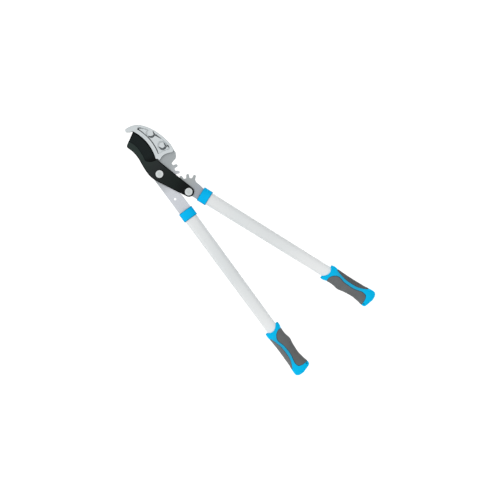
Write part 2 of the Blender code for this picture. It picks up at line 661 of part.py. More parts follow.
def in_handle(handle, name, mesh, body, look):
    """A piece built in the handle's own frame: -Y along its axis, X across it."""
    place = beside(handle, 0, 0) - handle.pivot
    return add(f"{handle.name}_{name}", mesh, body, look, (*place, 0), handle.side * HANDLE_SPREAD)


def half_width(handle, along):
    """Of the tapered tube."""
    share = (along - tube_start(handle)) / (tube_end(handle) - tube_start(handle))
    return (TUBE_MOUTH_WIDTH + (TUBE_END_WIDTH - TUBE_MOUTH_WIDTH) * share) / 2


def tube_ring(handle, along, clearance):
    """A ring parallel to the tube's skin, outside it or inside."""
    return oval(half_width(handle, along) + clearance, TUBE_THICKNESS / 2 + clearance, along)


def pin_hole(handle):
    """Right across the handle, for the tang's pin."""
    radius = PIN_DIAMETER / 2 + AIR
    hole = turned([(radius, -TUBE_THICKNESS), (radius, TUBE_THICKNESS)])
    bmesh.ops.translate(hole, verts=hole.verts, vec=(0, -pin_place(handle), 0))
    return hole


def tube(handle, body):
    start, end = tube_start(handle), tube_end(handle)
    rings = [tube_ring(handle, start, 0), tube_ring(handle, end, 0),
             tube_ring(handle, end, -TUBE_WALL), tube_ring(handle, start, -TUBE_WALL)]
    piece = in_handle(handle, "tube", skin(rings, looped=True), body, WHITE_ENAMEL)
    cut(piece, pin_hole(handle), f"{handle.name}_tube_pin_hole")


def collar(handle, body):
    front, back = handle.collar, handle.collar + COLLAR_LENGTH
    bottom = front + COLLAR_NOSE
    wall = AIR + COLLAR_WALL

    def outside(along, inset):
        return oval(half_width(handle, bottom) + wall - inset, TUBE_THICKNESS / 2 + wall - inset, along)

    def inside(along):
        return oval(half_width(handle, bottom) + AIR, TUBE_THICKNESS / 2 + AIR, along)

    edge = COLLAR_ROUND * ROUND_SHARE
    rings = [inside(bottom), inside(back), outside(back, edge), outside(back - edge, 0),
             outside(front + COLLAR_ROUND, 0), outside(front + edge, edge), outside(front, COLLAR_ROUND)]
    piece = in_handle(handle, "collar", skin(rings), body, BLUE_PLASTIC)
    sides = sorted((-handle.side * (handle.tang_inner + AIR), handle.side * (handle.tang_outer + AIR)))
    half_height = PLATE_TOP + AIR
    slot = box((sides[0], -bottom - AIR / 2, -half_height), (sides[1], -front + AIR, half_height))
    cut(piece, slot, f"{handle.name}_collar_slot")


def tube_insert(handle, body):
    start = tube_start(handle)
    fit = -TUBE_WALL - AIR
    rings = [tube_ring(handle, start, fit), tube_ring(handle, start + INSERT_LENGTH, fit)]
    piece = in_handle(handle, "tube_insert", skin(rings), body, WHITE_NYLON)
    half_height = PLATE_TOP + AIR
    half_slot = TANG_IN_TUBE + AIR
    slot = box((-half_slot, -start - TANG_DEPTH - AIR, -half_height), (half_slot, -start + AIR, half_height))
    cut(piece, slot, f"{handle.name}_insert_slot")
    cut(piece, pin_hole(handle), f"{handle.name}_insert_pin_hole")


def tang_pin(handle, body):
    reach = (TUBE_THICKNESS - TUBE_WALL) / 2
    pin = turned([(PIN_DIAMETER / 2, -reach), (PIN_DIAMETER / 2, reach)])
    bmesh.ops.translate(pin, verts=pin.verts, vec=(0, -pin_place(handle), 0))
    in_handle(handle, "tang_pin", pin, body, ZINC)


# Grips

def grip_size(table, place):
    """A half-size of the grip, along a smooth curve through the table."""
    curve = smooth(table)
    return numpy.interp(place, [point.x for point in curve], [point.y for point in curve])


def lip_shift(share):
    """How far the rim is drawn back, by the share of the half-width from the axis, inner side positive."""
    return LIP_SLANT * (1 - share) / 2 + LIP_SCALLOP * (1 - share ** 2)


def station_place(station, share):
    """Where a ring passes: the first ones bend from the rim's shape to straight across."""
    blend = FINGER_PAD[0][0]
    return station + lip_shift(share) * max(0, 1 - station / blend)


def grip_point(handle, station, angle, depth=0):
    """On the grip's skin or below it; angle 0 is the inner side and 90 the top."""
    share = bulge(cos(radians(angle)), GRIP_SQUARENESS)
    table, side = (GRIP_INNER, 1) if share > 0 else (GRIP_OUTER, -1)
    width = grip_size(table, station_place(station, side)) - depth
    height = grip_size(GRIP_HEIGHT, station) - depth
    return (-handle.side * share * width, -handle.grip - station_place(station, share),
            height * bulge(sin(radians(angle)), GRIP_SQUARENESS))


def edge_angle(pad, station, gap=0):
    """The angle round the grip at which a pad's long edge crosses a ring."""
    across = numpy.interp(station, [place for place, _ in pad], [edge for _, edge in pad]) + gap
    width = grip_size(GRIP_INNER if across > 0 else GRIP_OUTER, station)
    share = min(abs(across) / width, 0.98) ** (GRIP_SQUARENESS / 2)
    return degrees(acos(share if across > 0 else -share))


def turn_between(start, end, sides):
    return [start + (end - start) * i / sides for i in range(sides + 1)]


def round_ring(half):
    """A half ring over the top, completed underneath."""
    return [*half, *[(-angle, *rest) for angle, *rest in reversed(half[1:-1])]]


def core_ring(handle, station, finger_depth, palm_depth, depth=0):
    """A ring of the core, let in where the pads lie."""
    finger = edge_angle(FINGER_PAD, station)
    palm = edge_angle(PALM_PAD, station)
    zones = [(turn_between(0, finger, PAD_SIDES[0]), finger_depth),
             (turn_between(finger, palm, PAD_SIDES[1]), 0),
             (turn_between(palm, 180, PAD_SIDES[2]), palm_depth)]
    half = [(angle, depth + recess) for angles, recess in zones for angle in angles]
    return [grip_point(handle, station, angle, below) for angle, below in round_ring(half)]


def grip_core(handle, body):
    finger_start, finger_end = FINGER_PAD[0][0], FINGER_PAD[-1][0]
    palm_start, palm_end = PALM_PAD[0][0], PALM_PAD[-1][0]
    rim = core_ring(handle, 0, 0, 0, LIP_ROUND)
    mouth = [(x * RIM_HOLLOW, y, z * RIM_HOLLOW) for x, y, z in rim]
    rings = [[(x, -handle.grip - finger_start, z) for x, _, z in mouth], mouth, rim]
    rings.append(core_ring(handle, LIP_ROUND * ROUND_SHARE, 0, 0, LIP_ROUND * ROUND_SHARE))
    rings += [core_ring(handle, station, 0, 0) for station in LIP_STATIONS]
    finger_depth = palm_depth = 0
    for station, _ in FINGER_PAD:
        rings.append(core_ring(handle, station, finger_depth, palm_depth))
        finger_depth = PAD_DEPTH if station < finger_end else 0
        palm_depth = PAD_DEPTH if palm_start <= station < palm_end else 0
        if station in (finger_start, finger_end, palm_start, palm_end):
            rings.append(core_ring(handle, station, finger_depth, palm_depth))
    rings += [core_ring(handle, station, 0, 0) for station in END_STATIONS]
    core = in_handle(handle, "grip_core", skin(rings), body, BLUE_PLASTIC)
    socket = [tube_ring(handle, handle.grip + along, AIR) for along in (-COLLAR_LENGTH, GRIP_SOCKET)]
    cut(core, skin(socket), f"{handle.name}_grip_socket")


def grip_pad(handle, name, pad, far_angle, sides, body):
    """A pad round one side of the grip, from its long edge on top to the one underneath."""
    stations = [station for station, _ in pad]
    stations[0] += PAD_GAP
    stations[-1] -= PAD_GAP
    gap = PAD_GAP if far_angle == 0 else -PAD_GAP
    rings = []
    for station in stations:
        half = turn_between(edge_angle(pad, station), far_angle, sides)
        half[0] = edge_angle(pad, station, gap)
        angles = half + [2 * far_angle - angle for angle in reversed(half[:-1])]
        rings.append([grip_point(handle, station, angle) for angle in angles]
                     + [grip_point(handle, station, angle, PAD_DEPTH - AIR) for angle in reversed(angles)])
    in_handle(handle, name, skin(rings), body, GREY_RUBBER)


def grip(handle, body):
    grip_core(handle, body)
    grip_pad(handle, "grip_finger_pad", FINGER_PAD, 0, PAD_SIDES[0], body)
    grip_pad(handle, "grip_palm_pad", PALM_PAD, 180, PAD_SIDES[2], body)


def handle_pieces(handle, body):
    tube(handle, body)
    collar(handle, body)
    tube_insert(handle, body)
    tang_pin(handle, body)
    grip(handle, body)


def set_on_ground(lopper):
    """Move the whole so that the origin is under the middle of its bounding box."""
    bpy.context.view_layer.update()
    graph = bpy.context.evaluated_depsgraph_get()
    corners = []
    for piece in bpy.data.objects:
        if piece.type == "MESH" and not piece.hide_render:
            seen = piece.evaluated_get(graph)
            corners += [piece.matrix_world @ vertex.co for vertex in seen.data.vertices]
    low = Vector([min(corner[i] for corner in corners) for i in range(3)])
    high = Vector([max(corner[i] for corner in corners) for i in range(3)])
    middle = (low + high) / 2
    lopper.location -= Vector((middle.x, middle.y, low.z))
    bpy.context.view_layer.update()


def main():
    for old in list(bpy.data.objects):
        bpy.data.objects.remove(old, do_unlink=True)
    lopper = empty("lopper", None, MAIN_PIVOT)
    lower_handle = empty("lower_handle", lopper, MAIN_PIVOT)
    blade_body = empty("blade_body", lower_handle, MAIN_PIVOT)
    upper_handle = empty("upper_handle", blade_body, GEAR_PIVOT)

    counter_plate(lower_handle)
    hook_cover(lower_handle)
    for name in BOSS_PLACES:
        cover_rivet(name, lower_handle)
    pivot_hardware("main_pivot", lower_handle, MAIN_PIVOT)
    handle_pieces(LOWER, lower_handle)

    blade(blade_body)
    pivot_hardware("gear_pivot", blade_body, GEAR_PIVOT)

    gear_plate(upper_handle)
    handle_pieces(UPPER, upper_handle)
    set_on_ground(lopper)


main()
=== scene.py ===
"""Looks of the geared lopper: finer copies of its CAD pieces, their finishes, the light and the camera.

Plan points are drawn round the main pivot, with the jaws towards +Y, and heights are counted from the
middle of the handles, as in the part's own source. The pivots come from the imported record.
"""

import json
from collections import namedtuple
from math import acos, atan2, ceil, cos, degrees, pi, radians, sin, tan

import bmesh
import bpy
import numpy as np
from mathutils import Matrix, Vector


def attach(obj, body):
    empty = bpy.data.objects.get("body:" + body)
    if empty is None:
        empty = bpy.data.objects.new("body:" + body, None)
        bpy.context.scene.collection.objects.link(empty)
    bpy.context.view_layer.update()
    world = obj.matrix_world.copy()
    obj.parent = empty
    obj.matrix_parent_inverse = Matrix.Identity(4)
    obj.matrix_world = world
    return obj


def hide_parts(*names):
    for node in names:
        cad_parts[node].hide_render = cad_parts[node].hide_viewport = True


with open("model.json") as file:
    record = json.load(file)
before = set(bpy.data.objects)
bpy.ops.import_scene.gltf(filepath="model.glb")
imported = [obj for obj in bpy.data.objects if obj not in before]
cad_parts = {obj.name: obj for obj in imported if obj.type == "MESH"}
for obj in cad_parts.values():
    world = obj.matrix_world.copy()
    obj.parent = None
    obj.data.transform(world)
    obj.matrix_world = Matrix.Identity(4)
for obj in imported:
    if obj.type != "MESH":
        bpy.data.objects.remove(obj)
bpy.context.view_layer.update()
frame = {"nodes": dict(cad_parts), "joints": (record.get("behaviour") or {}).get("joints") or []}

PIVOTS = {joint["name"]: Vector(joint["pos_m"]) for joint in frame["joints"]}
MAIN = PIVOTS["blade_pivot"]
GEAR = PIVOTS["gear_handle_pivot"]

# Sizes of the part's source, and of the finer forms that only this file has
AIR = 0.0003
PLATE_TOP = 0.00225
BLADE_BOTTOM = PLATE_TOP + AIR
BLADE_TOP = BLADE_BOTTOM + 0.0050
EDGE_LAND = 0.0005
COVER_TOP = BLADE_BOTTOM + 0.0070
# The jaws' places are angles round the cutting edge's circle and distances beyond it.
CUT_RADIUS = 0.1106
CUT_HEEL = -31.8
CUT_TIP = 15.6
HOOK_TIP = 16.5
BLADE_NOTCH = (-32.8, 0.0048)
ARM_SHOULDER = (-34.7, 0.0057)
BLADE_TIP = (16.5, -0.0002)
BLADE_BACK = (14.6, -0.0428)
GRIND_LINE = [(-33.2, 0.0025), (-34.2, -0.0110), (-32.0, -0.0231), (-28.5, -0.0273), (-20.8, -0.0277),
              (-6.6, -0.0277), (0.2, -0.0271), (6.8, -0.0273), (13.8, -0.0278)]
GRIND_END = (15.6, -0.0260)
BLADE_TIP_ROUND = 0.0010
BLADE_BACK_ROUND = 0.0085
BLADE_EDGE_ROUND = 0.0007
LOW_EDGE_WEIGHT = 0.2
BLADE_CORNER = 50
# Least and greatest upward part of the normal on the blade's ground faces
GROUND_LEAN = 0.6, 0.9999
EDGE_SHADE_WIDTH = 0.0020
EDGE_SHADE_AT_END = 0.0024
EDGE_STRIP = 0.0009
# Share of the way from the edge to the ground zone's border, and height there: hollow ground, with a
# small step up at the border
GRIND_PROFILE = [(0, EDGE_LAND), (0.085, EDGE_STRIP), (0.25, 0.0015), (0.5, 0.0023), (0.75, 0.0031),
                 (0.94, 0.0039), (0.97, 0.0045), (1, BLADE_TOP - BLADE_BOTTOM)]
SPINE = [(4.0, -0.0430), (-5.2, -0.0423), (-21.1, -0.0405), (-36.0, -0.0369), (-48.8, -0.0278)]
HUB_SIDE = [Vector((-0.0203, 0.0140)), Vector((-0.0193, 0.0000)), Vector((-0.0169, -0.0101))]
ARM_END_RADIUS = 0.0130
ARM_END_SHIFT = Vector((0.0006, 0.0000))
HOOK_BACK = [(-28.5, 0.0512), (-22.4, 0.0483), (-15.3, 0.0433), (-5.8, 0.0365), (3.2, 0.0303),
             (11.7, 0.0236), (18.7, 0.0152), (23.9, 0.0055)]
HOOK_NOSE = [(26.3, -0.0004), (27.0, -0.0032), (26.2, -0.0064), (24.8, -0.0086), (22.3, -0.0077),
             (19.2, -0.0048), (17.3, -0.0012)]
COVER_FOOT = [(-34.8, 0.0088), (-31.6, 0.0158), (-29.7, 0.0250), (-29.4, 0.0350), (-29.8, 0.0440)]
COVER_HEEL = (-32.3, 0.0051)
RIDGE_WIDTH = 0.0095
RIM_WIDTH = 0.0055
POCKET_DEPTH = 0.0036
POCKET_DRAFT = 0.0018
RIDGE_DRAFT = 0.0002
DRAFT_START = 0.0040
POCKET_TOP = 13.4
POCKET_BOTTOM = -26.8
POCKET_FOOT = [(-26.0, 0.0258), (-26.1, 0.0432)]
POCKET_FOOT_ROUNDS = [0.0100, 0.0040]
POCKET_HEAD = (13.2, 0.0150)
POCKET_ROUND = 0.0025
BOSSES = {"tip": ((-1.6, 0.0230), 0.0078), "heel": ((-19.8, 0.0277), 0.0076)}
BOSS_DRAFT = 0.0046
# Drops below the cover's top and steps out from a boss's radius
BOSS_RIM = [(0.0006, 0.0006), (0.0001, -0.0002)]
COVER_ROUND_DROP = 0.0014
# Widths of the rounding at the cover's foot, back, nose and front
COVER_ROUNDS = [0.0003, 0.0024, 0.0012, 0.0006]
NOSE_POINTS = 12
ROUND_BLENDS = 6
RIDGE_LINE = 0.0046
RIDGE_LINE_ENDS = 14.5, -28.5
RIDGE_LINE_WIDTHS = [0.0002, 0.0007, 0.0007, 0.0007, 0.0007, 0.0002]
RIDGE_LINE_DEPTH = 0.0004
# Points, widths and depth of each groove in the pocket's floor
GROOVES = [([(13.3, 0.0108), (10.0, 0.0106), (4.0, 0.0106), (-4.0, 0.0106), (-12.0, 0.0106),
             (-20.0, 0.0106), (-27.6, 0.0106)],
            [0.0040, 0.0024, 0.0022, 0.0024, 0.0026, 0.0026, 0.0026, 0.0014], 0.0019),
           ([(12.6, 0.0116), (12.4, 0.0138), (11.2, 0.0163), (9.5, 0.0184), (6.8, 0.0212), (4.3, 0.0221)],
            [0.0040, 0.0032, 0.0030, 0.0032, 0.0028, 0.0012], 0.0018),
           ([(-5.6, 0.0268), (-7.8, 0.0290), (-10.4, 0.0315), (-13.3, 0.0342)],
            [0.0030, 0.0026, 0.0022, 0.0012], 0.0016),
           ([(-21.9, 0.0390), (-24.2, 0.0414), (-26.3, 0.0440)], [0.0024, 0.0020, 0.0010], 0.0015)]
GROOVE_RISE = 0.0004
# Points and widths of each hollow beside a boss
CRESCENTS = [([(-2.0, 0.0305), (-3.4, 0.0293), (-4.8, 0.0279), (-6.2, 0.0266)],
              [0.0012, 0.0024, 0.0030, 0.0030]),
             ([(-2.2, 0.0137), (-4.1, 0.0150), (-5.6, 0.0176), (-6.3, 0.0214), (-6.3, 0.0261)],
              [0.0010, 0.0038, 0.0050, 0.0048, 0.0034]),
             ([(-19.2, 0.0191), (-21.5, 0.0210), (-23.3, 0.0244), (-23.6, 0.0289), (-22.7, 0.0341)],
              [0.0010, 0.0034, 0.0048, 0.0058, 0.0046]),
             ([(-17.9, 0.0348), (-19.5, 0.0349), (-20.8, 0.0350), (-22.2, 0.0347)],
              [0.0010, 0.0022, 0.0032, 0.0036]),
             ([(-22.6, 0.0350), (-22.3, 0.0378), (-22.1, 0.0398)], [0.0034, 0.0030, 0.0022])]
CRESCENT_DEPTH = 0.0010
CRESCENT_TOP = POCKET_DEPTH + 0.0004
BOLT = 0.0100
WASHER_BOTTOM = BLADE_TOP + AIR
WASHER_TOP = WASHER_BOTTOM + 0.0010
WASHER_RADIUS = 0.0113
WASHER_CHAMFER = 0.0002
HEAD_BOTTOM = WASHER_TOP + AIR
HEAD_TOP = HEAD_BOTTOM + 0.0032
HEAD_RADIUS = 0.0098
HEAD_ROUND = 0.0008
SPRING_WASHER_TOP = -PLATE_TOP - AIR
SPRING_WASHER_BOTTOM = SPRING_WASHER_TOP - 0.0022
NUT_TOP = SPRING_WASHER_BOTTOM - AIR
NUT_BOTTOM = NUT_TOP - 0.0080
NUT_HALF_WIDTH = 0.0085
NUT_CHAMFER = 0.0010
BORE_CHAMFER = 0.0006
BOLT_END = NUT_BOTTOM - 0.00145
# Steps out from the shank and heights, at the bolt's end and in one turn of its thread
BOLT_TIP = [(-0.0011, 0.0), (-0.0005, 0.0006)]
THREAD = [(0.0, 0.0003), (0.0, 0.0004), (-0.0006, 0.0010)]
THREAD_PITCH = 0.0012
THREAD_TURNS = 9
AXIS_GAP = 0.0002
RIVET_RADIUS = 0.0025
RIVET_TOP = BLADE_BOTTOM + 0.0045
RIVET_HEAD = [(AXIS_GAP, 0.0015), (0.0018, 0.00145), (0.0031, 0.0012), (0.0041, 0.0007),
              (0.0046, 0.0002), (0.0046, 0.0)]
PLATE_ROUND = 0.0004
FINE_ROUND = 0.0002
HANDLE_SPREAD = 10.94
TUBE_WALL = 0.0015
TUBE_HALF_HEIGHT = 0.0100
TUBE_HALF_WIDTHS = 0.0173, 0.0157
TUBE_SQUARENESS = 2.3
COLLAR_LENGTH = 0.0248
COLLAR_NOSE = 0.0050
COLLAR_WALL = 0.0018
COLLAR_ROUND = 0.0010
COLLAR_MOUTH = 0.0004
COLLAR_BORDER = 0.0016
COLLAR_SHADE_STEEP = 0.5
GRIP_SOCKET = 0.0620
# Half widths at both sides of the grip and its half height, by the distance from its mouth
GRIP_INNER = [(0.000, 0.0212), (0.005, 0.0222), (0.010, 0.0219), (0.016, 0.0202), (0.024, 0.0195),
              (0.032, 0.0195), (0.040, 0.0205), (0.048, 0.0223), (0.055, 0.0227), (0.061, 0.0215),
              (0.068, 0.0204), (0.080, 0.0194), (0.090, 0.0189), (0.098, 0.0192), (0.106, 0.0207),
              (0.114, 0.0219), (0.120, 0.0236), (0.126, 0.0248), (0.131, 0.0249), (0.134, 0.0236),
              (0.1362, 0.0207), (0.1386, 0.0139), (0.141, 0.0054), (0.1428, 0.0008)]
GRIP_OUTER = [(0.008, 0.0212), (0.014, 0.0223), (0.020, 0.0222), (0.028, 0.0210), (0.036, 0.0205),
              (0.044, 0.0201), (0.052, 0.0196), (0.064, 0.0194), (0.080, 0.0193), (0.090, 0.0195),
              (0.100, 0.0196), (0.108, 0.0197), (0.116, 0.0208), (0.124, 0.0214), (0.131, 0.0216),
              (0.136, 0.0209), (0.139, 0.0193), (0.1412, 0.0164), (0.1428, 0.0122)]
GRIP_HEIGHT = [(0.000, 0.0137), (0.008, 0.0142), (0.020, 0.0136), (0.040, 0.0131), (0.055, 0.0134),
               (0.080, 0.0129), (0.100, 0.0132), (0.116, 0.0141), (0.126, 0.01438), (0.133, 0.0139),
               (0.138, 0.0120), (0.141, 0.0092), (0.1428, 0.0058)]
GRIP_SQUARENESS = 2.4
LIP_SLANT = 0.0080
LIP_SCALLOP = 0.0095
LIP_ROUND = 0.0014
LIP_SHADE_SHARE = 0.88
PAD_DEPTH = 0.0018
PAD_GAP = 0.0004
# Each pad's long edge, by the distance from the mouth, with the inner side positive
FINGER_PAD = [(0.0180, 0.0110), (0.0203, 0.0065), (0.0230, 0.0028), (0.0265, -0.0006), (0.0310, -0.0034),
              (0.0385, -0.0056), (0.0470, -0.0040), (0.0570, -0.0009), (0.0680, 0.0001), (0.0790, 0.0008),
              (0.0900, 0.0000), (0.1010, -0.0025), (0.1056, -0.0036), (0.1100, -0.0042), (0.1180, -0.0028),
              (0.1220, 0.0005), (0.1250, 0.0075)]
PALM_PAD = [(0.0265, -0.0178), (0.0310, -0.0163), (0.0385, -0.0138), (0.0470, -0.0113), (0.0570, -0.0090),
            (0.0680, -0.0080), (0.0790, -0.0078), (0.0900, -0.0083), (0.1010, -0.0107),
            (0.1056, -0.0124), (0.1100, -0.0142), (0.1180, -0.0178)]
PADS = {"finger": FINGER_PAD, "palm": PALM_PAD}
# Distances inside a pad's edge, and how deep the core and the pad lie there
CORE_DROP = [-0.0009, -0.0005, -0.0002, 0.0, 0.00012], [0.0, 0.00006, 0.00025, 0.0007, PAD_DEPTH]
PAD_DROP = [0.0, 0.00015, 0.00045, 0.0009, 0.0016], [0.0011, 0.00055, 0.00018, 0.0, -0.00012]
GAP_SHADE_DROP = 0.00012
CORE_INSET = 0.0004
DIMPLE_STATION = 0.1285
DIMPLE_ANGLE = 42.0
DIMPLE_PROFILE = [(-0.0016, 0.0017), (-0.0012, 0.0022), (0.0, 0.0025), (0.0030, 0.0027)]
DIMPLE_REACH = 0.0030
# Depth below the skin, and its slope from a distance outwards, under which a face is the dimple's
DIMPLE_SKIN = 0.0003, 0.1, 0.0010

# How far a handle's axis lies outwards of its pivot, where its collar and its grip start along it, and how
# far its tang reaches to both sides
Handle = namedtuple("Handle", "name body pivot side offset collar grip tang_inner tang_outer")
LOWER = Handle("lower", "lower_handle", MAIN, -1, 0.0021, 0.1118, 0.4765, 0.0173, 0.0170)
UPPER = Handle("upper", "upper_handle", GEAR, 1, 0.0120, 0.0278, 0.3965, 0.0169, 0.0146)
HANDLES = LOWER, UPPER

# The picture's directions on the plan, the view, and the light, with turns counted from its right side
IMAGE_UP = Vector((0.7343, 0.6788, 0))
IMAGE_RIGHT = Vector((0.6788, -0.7343, 0))
AIM = MAIN + Vector((0.01461, -0.29801, 0))
CAMERA_HEIGHT = 4
CAMERA_TURN = -47.217
LENS = 113.77
FLOOR_SIZE = 12
FLOOR_GLOW = 0.85
SKY_TURN = 190
SKY_LEAN = 0.10
SKY_RISE = 0.85
SKY_LEVELS = [(0.0, 0.10), (0.5, 0.50), (0.8, 0.80), (1.0, 1.0)]
SKY_STRENGTH = 1.48
KEY_TURN = 205
KEY_DISTANCE = 2.6
KEY_HEIGHT = 1.8
KEY_SIZE = 1.6
KEY_POWER = 9

# Fineness
ROUND_SIDES = 72
OVAL_SIDES = 96
ARC_TOLERANCE = 0.00001
CURVE_STEPS = 8
STROKE_POINTS = 40
LIP_STEPS = 5
FINGER_STEPS = 9
BAND_STEPS = 7
PALM_STEPS = 8
PAD_STEPS = 9
DIMPLE_SIDES = 32
STATION_STEP = 0.0014
STATION_GAP = 0.0012
CORE_START = 0.0030
CORE_END_STATIONS = [0.1300, 0.1318, 0.1335, 0.1350, 0.1362, 0.1374, 0.1386, 0.1396, 0.1404, 0.1411,
                     0.1417, 0.1422, 0.1426]
SLOPE_STEP = 0.0003
CLEAR_SHARE = 0.98
CORNER_SHARE = 0.49
MERGE_DISTANCE = 1e-6
LEVEL_GAP = 0.0001


# Plan geometry

def handle_axis(handle):
    """The plan direction from a handle's pivot to its grip."""
    return Vector((handle.side * sin(radians(HANDLE_SPREAD)), -cos(radians(HANDLE_SPREAD))))


def polar(centre, radius, angle):
    return centre + Vector((cos(radians(angle)), sin(radians(angle)))) * radius


CUT_CENTRE = polar(Vector((0.0214, 0.0330)), -CUT_RADIUS, CUT_HEEL)


def by_edge(places):
    """Plan points from (angle, distance beyond the cutting circle) places."""
    return [polar(CUT_CENTRE, CUT_RADIUS + beyond, angle) for angle, beyond in places]


def direction(vector):
    return degrees(atan2(vector.y, vector.x))


def left_of(vector):
    return Vector((-vector.y, vector.x)).normalized()


def arc(centre, radius, start, end):
    step = 2 * degrees(acos(1 - ARC_TOLERANCE / radius))
    steps = max(2, ceil(abs(end - start) / step))
    return [polar(centre, radius, start + (end - start) * i / steps) for i in range(steps + 1)]


def turns(sides):
    return [2 * pi * i / sides for i in range(sides)]


def even_circle(centre, radius):
    return [polar(centre, radius, degrees(turn)) for turn in turns(ROUND_SIDES)]


def smooth(points, steps=CURVE_STEPS):
    """Points along a Catmull-Rom curve through the given ones."""
    points = [Vector(point) for point in points]
    ends = [2 * points[0] - points[1], *points, 2 * points[-1] - points[-2]]
    curve = []
    for before, here, there, after in zip(ends, ends[1:], ends[2:], ends[3:]):
        for i in range(steps):
            t = i / steps
            curve.append(here + ((there - before) * t
                                 + (2 * before - 5 * here + 4 * there - after) * t ** 2
                                 + (3 * here - before - 3 * there + after) * t ** 3) / 2)
    return [*curve, points[-1]]


def spread(points, count):
    """Evenly spaced points along a line."""
    lengths = [(b - a).length for a, b in zip(points, points[1:])]
    travelled = [0, *np.cumsum(lengths)]
    places = np.linspace(0, travelled[-1], count)
    return [Vector((np.interp(place, travelled, [point.x for point in points]),
                    np.interp(place, travelled, [point.y for point in points]))) for place in places]


def fillet(before, corner, after, radius):
    """The arc in place of a corner, kept within its two sides."""
    one = (before - corner).normalized()
    two = (after - corner).normalized()
    half = one.angle(two) / 2
    side = min((before - corner).length, (after - corner).length)
    reach = min(radius / tan(half), CORNER_SHARE * side)
    centre = corner + (one + two).normalized() * reach / cos(half)
    start = direction(corner + one * reach - centre)
    turn = (direction(corner + two * reach - centre) - start + 180) % 360 - 180
    return arc(centre, reach * tan(half), start, start + turn)


def rounded(corners):
    """An outline through points, of which those with a radius are rounded."""
    corners = [corner if isinstance(corner, tuple) else (corner, 0) for corner in corners]
    outline = []
    for i, (corner, radius) in enumerate(corners):
        if radius:
            outline += fillet(corners[i - 1][0], corner, corners[(i + 1) % len(corners)][0], radius)
        else:
            outline.append(corner)
    return outline


def parallel(points, distance, closed=False):
    """The outline moved to its left, which is inwards where it runs counter-clockwise. The distance is one
    number or one for each point."""
    distances = distance if isinstance(distance, list) else [distance] * len(points)
    moved = []
    for i, (point, distance) in enumerate(zip(points, distances)):
        before = points[i - 1] if i or closed else None
        after = points[(i + 1) % len(points)] if i + 1 < len(points) or closed else None
        came = left_of(point - before) if before else left_of(after - point)
        goes = left_of(after - point) if after else came
        middle = (came + goes).normalized()
        moved.append(point + middle * distance / middle.dot(goes))
    return moved


def touch(point, centre, radius, side):
    """The direction from a circle's centre to where a line from a point touches it."""
    away = point - centre
    return direction(away) + side * degrees(acos(radius / away.length))


def quarter(radius, steps=4):
    """Insets and drops of a rounded edge, from its flat top to its upright side."""
    angles = [pi / 2 * i / steps for i in range(steps + 1)]
    return [(radius * (1 - sin(angle)), radius * (1 - cos(angle))) for angle in angles]


def beyond_edge(point):
    return (point - CUT_CENTRE).length - CUT_RADIUS


def stroke(points, widths):
    """A long thin outline along a curve, with its widths spread evenly from the start to the end."""
    curve = spread(smooth(points), STROKE_POINTS)
    places = np.linspace(0, len(widths) - 1, STROKE_POINTS)
    halves = [float(width) / 2 for width in np.interp(places, range(len(widths)), widths)]
    return parallel(curve, [-half for half in halves]) + parallel(curve, halves)[::-1]


# Meshes

def mesh_data(name, mesh):
    """Mesh data with its faces turned outwards."""
    bmesh.ops.recalc_face_normals(mesh, faces=mesh.faces)
    data = bpy.data.meshes.new(name)
    mesh.to_mesh(data)
    mesh.free()
    return data


def linked(name, data):
    """A new object in the scene."""
    made = bpy.data.objects.new(name, data)
    bpy.context.collection.objects.link(made)
    return made


def shade_smooth(piece, sharp):
    """Smooth shading but for the edges that are sharper than an angle."""
    piece.data.shade_smooth()
    piece.data.set_sharp_from_angle(angle=radians(sharp))


def new_piece(node, mesh, body, slot, *looks, sharp=30):
    """A finer copy of a node in the row frame, which rides on a body, with its materials."""
    bmesh.ops.remove_doubles(mesh, verts=mesh.verts, dist=MERGE_DISTANCE)
    piece = linked(f"{node}_fine", mesh_data(f"{node}_fine", mesh))
    shade_smooth(piece, sharp)
    for look in looks:
        piece.data.materials.append(look)
    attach(piece, body)
    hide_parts(node)
    return piece


def prism(levels, holes=()):
    """A body through stacked (height, outline) levels of equal counts, with straight holes in it, round
    the main pivot."""
    mesh = bmesh.new()
    ends = levels[0][0], levels[-1][0]
    rims = {end: [] for end in ends}
    for wall in [levels, *[[(end, hole) for end in ends] for hole in holes]]:
        rows = [[mesh.verts.new((point.x + MAIN.x, point.y + MAIN.y, height + MAIN.z))
                 for point in outline] for height, outline in wall]
        for low, high in zip(rows, rows[1:]):
            for i in range(len(low)):
                mesh.faces.new((low[i - 1], low[i], high[i], high[i - 1]))
        for end, row in zip(ends, (rows[0], rows[-1])):
            rims[end] += [mesh.edges.get((row[i - 1], row[i])) for i in range(len(row))]
    for rim in rims.values():
        bmesh.ops.triangle_fill(mesh, use_beauty=True, edges=rim)
    return mesh


def skin(rings, looped=False):
    """A body through rings of equal counts, capped at both ends or joined into a loop."""
    mesh = bmesh.new()
    rows = [[mesh.verts.new(point) for point in ring] for ring in rings]
    for one, two in zip(rows, rows[1:] + rows[:1] if looped else rows[1:]):
        for i in range(len(one)):
            mesh.faces.new((one[i - 1], one[i], two[i], two[i - 1]))
    if not looped:
        mesh.faces.new(rows[0])
        mesh.faces.new(rows[-1])
    return mesh


def turned(centre, profile, looped=False):
    """A body turned round an upright axis from (radius, height) points, where a radius may be a function
    of the turn."""
    rings = []
    for radius, height in profile:
        reach = radius if callable(radius) else lambda turn: radius
        rings.append([(centre.x + reach(turn) * cos(turn), centre.y + reach(turn) * sin(turn),
                       centre.z + height) for turn in turns(ROUND_SIDES)])
    return skin(rings, looped)


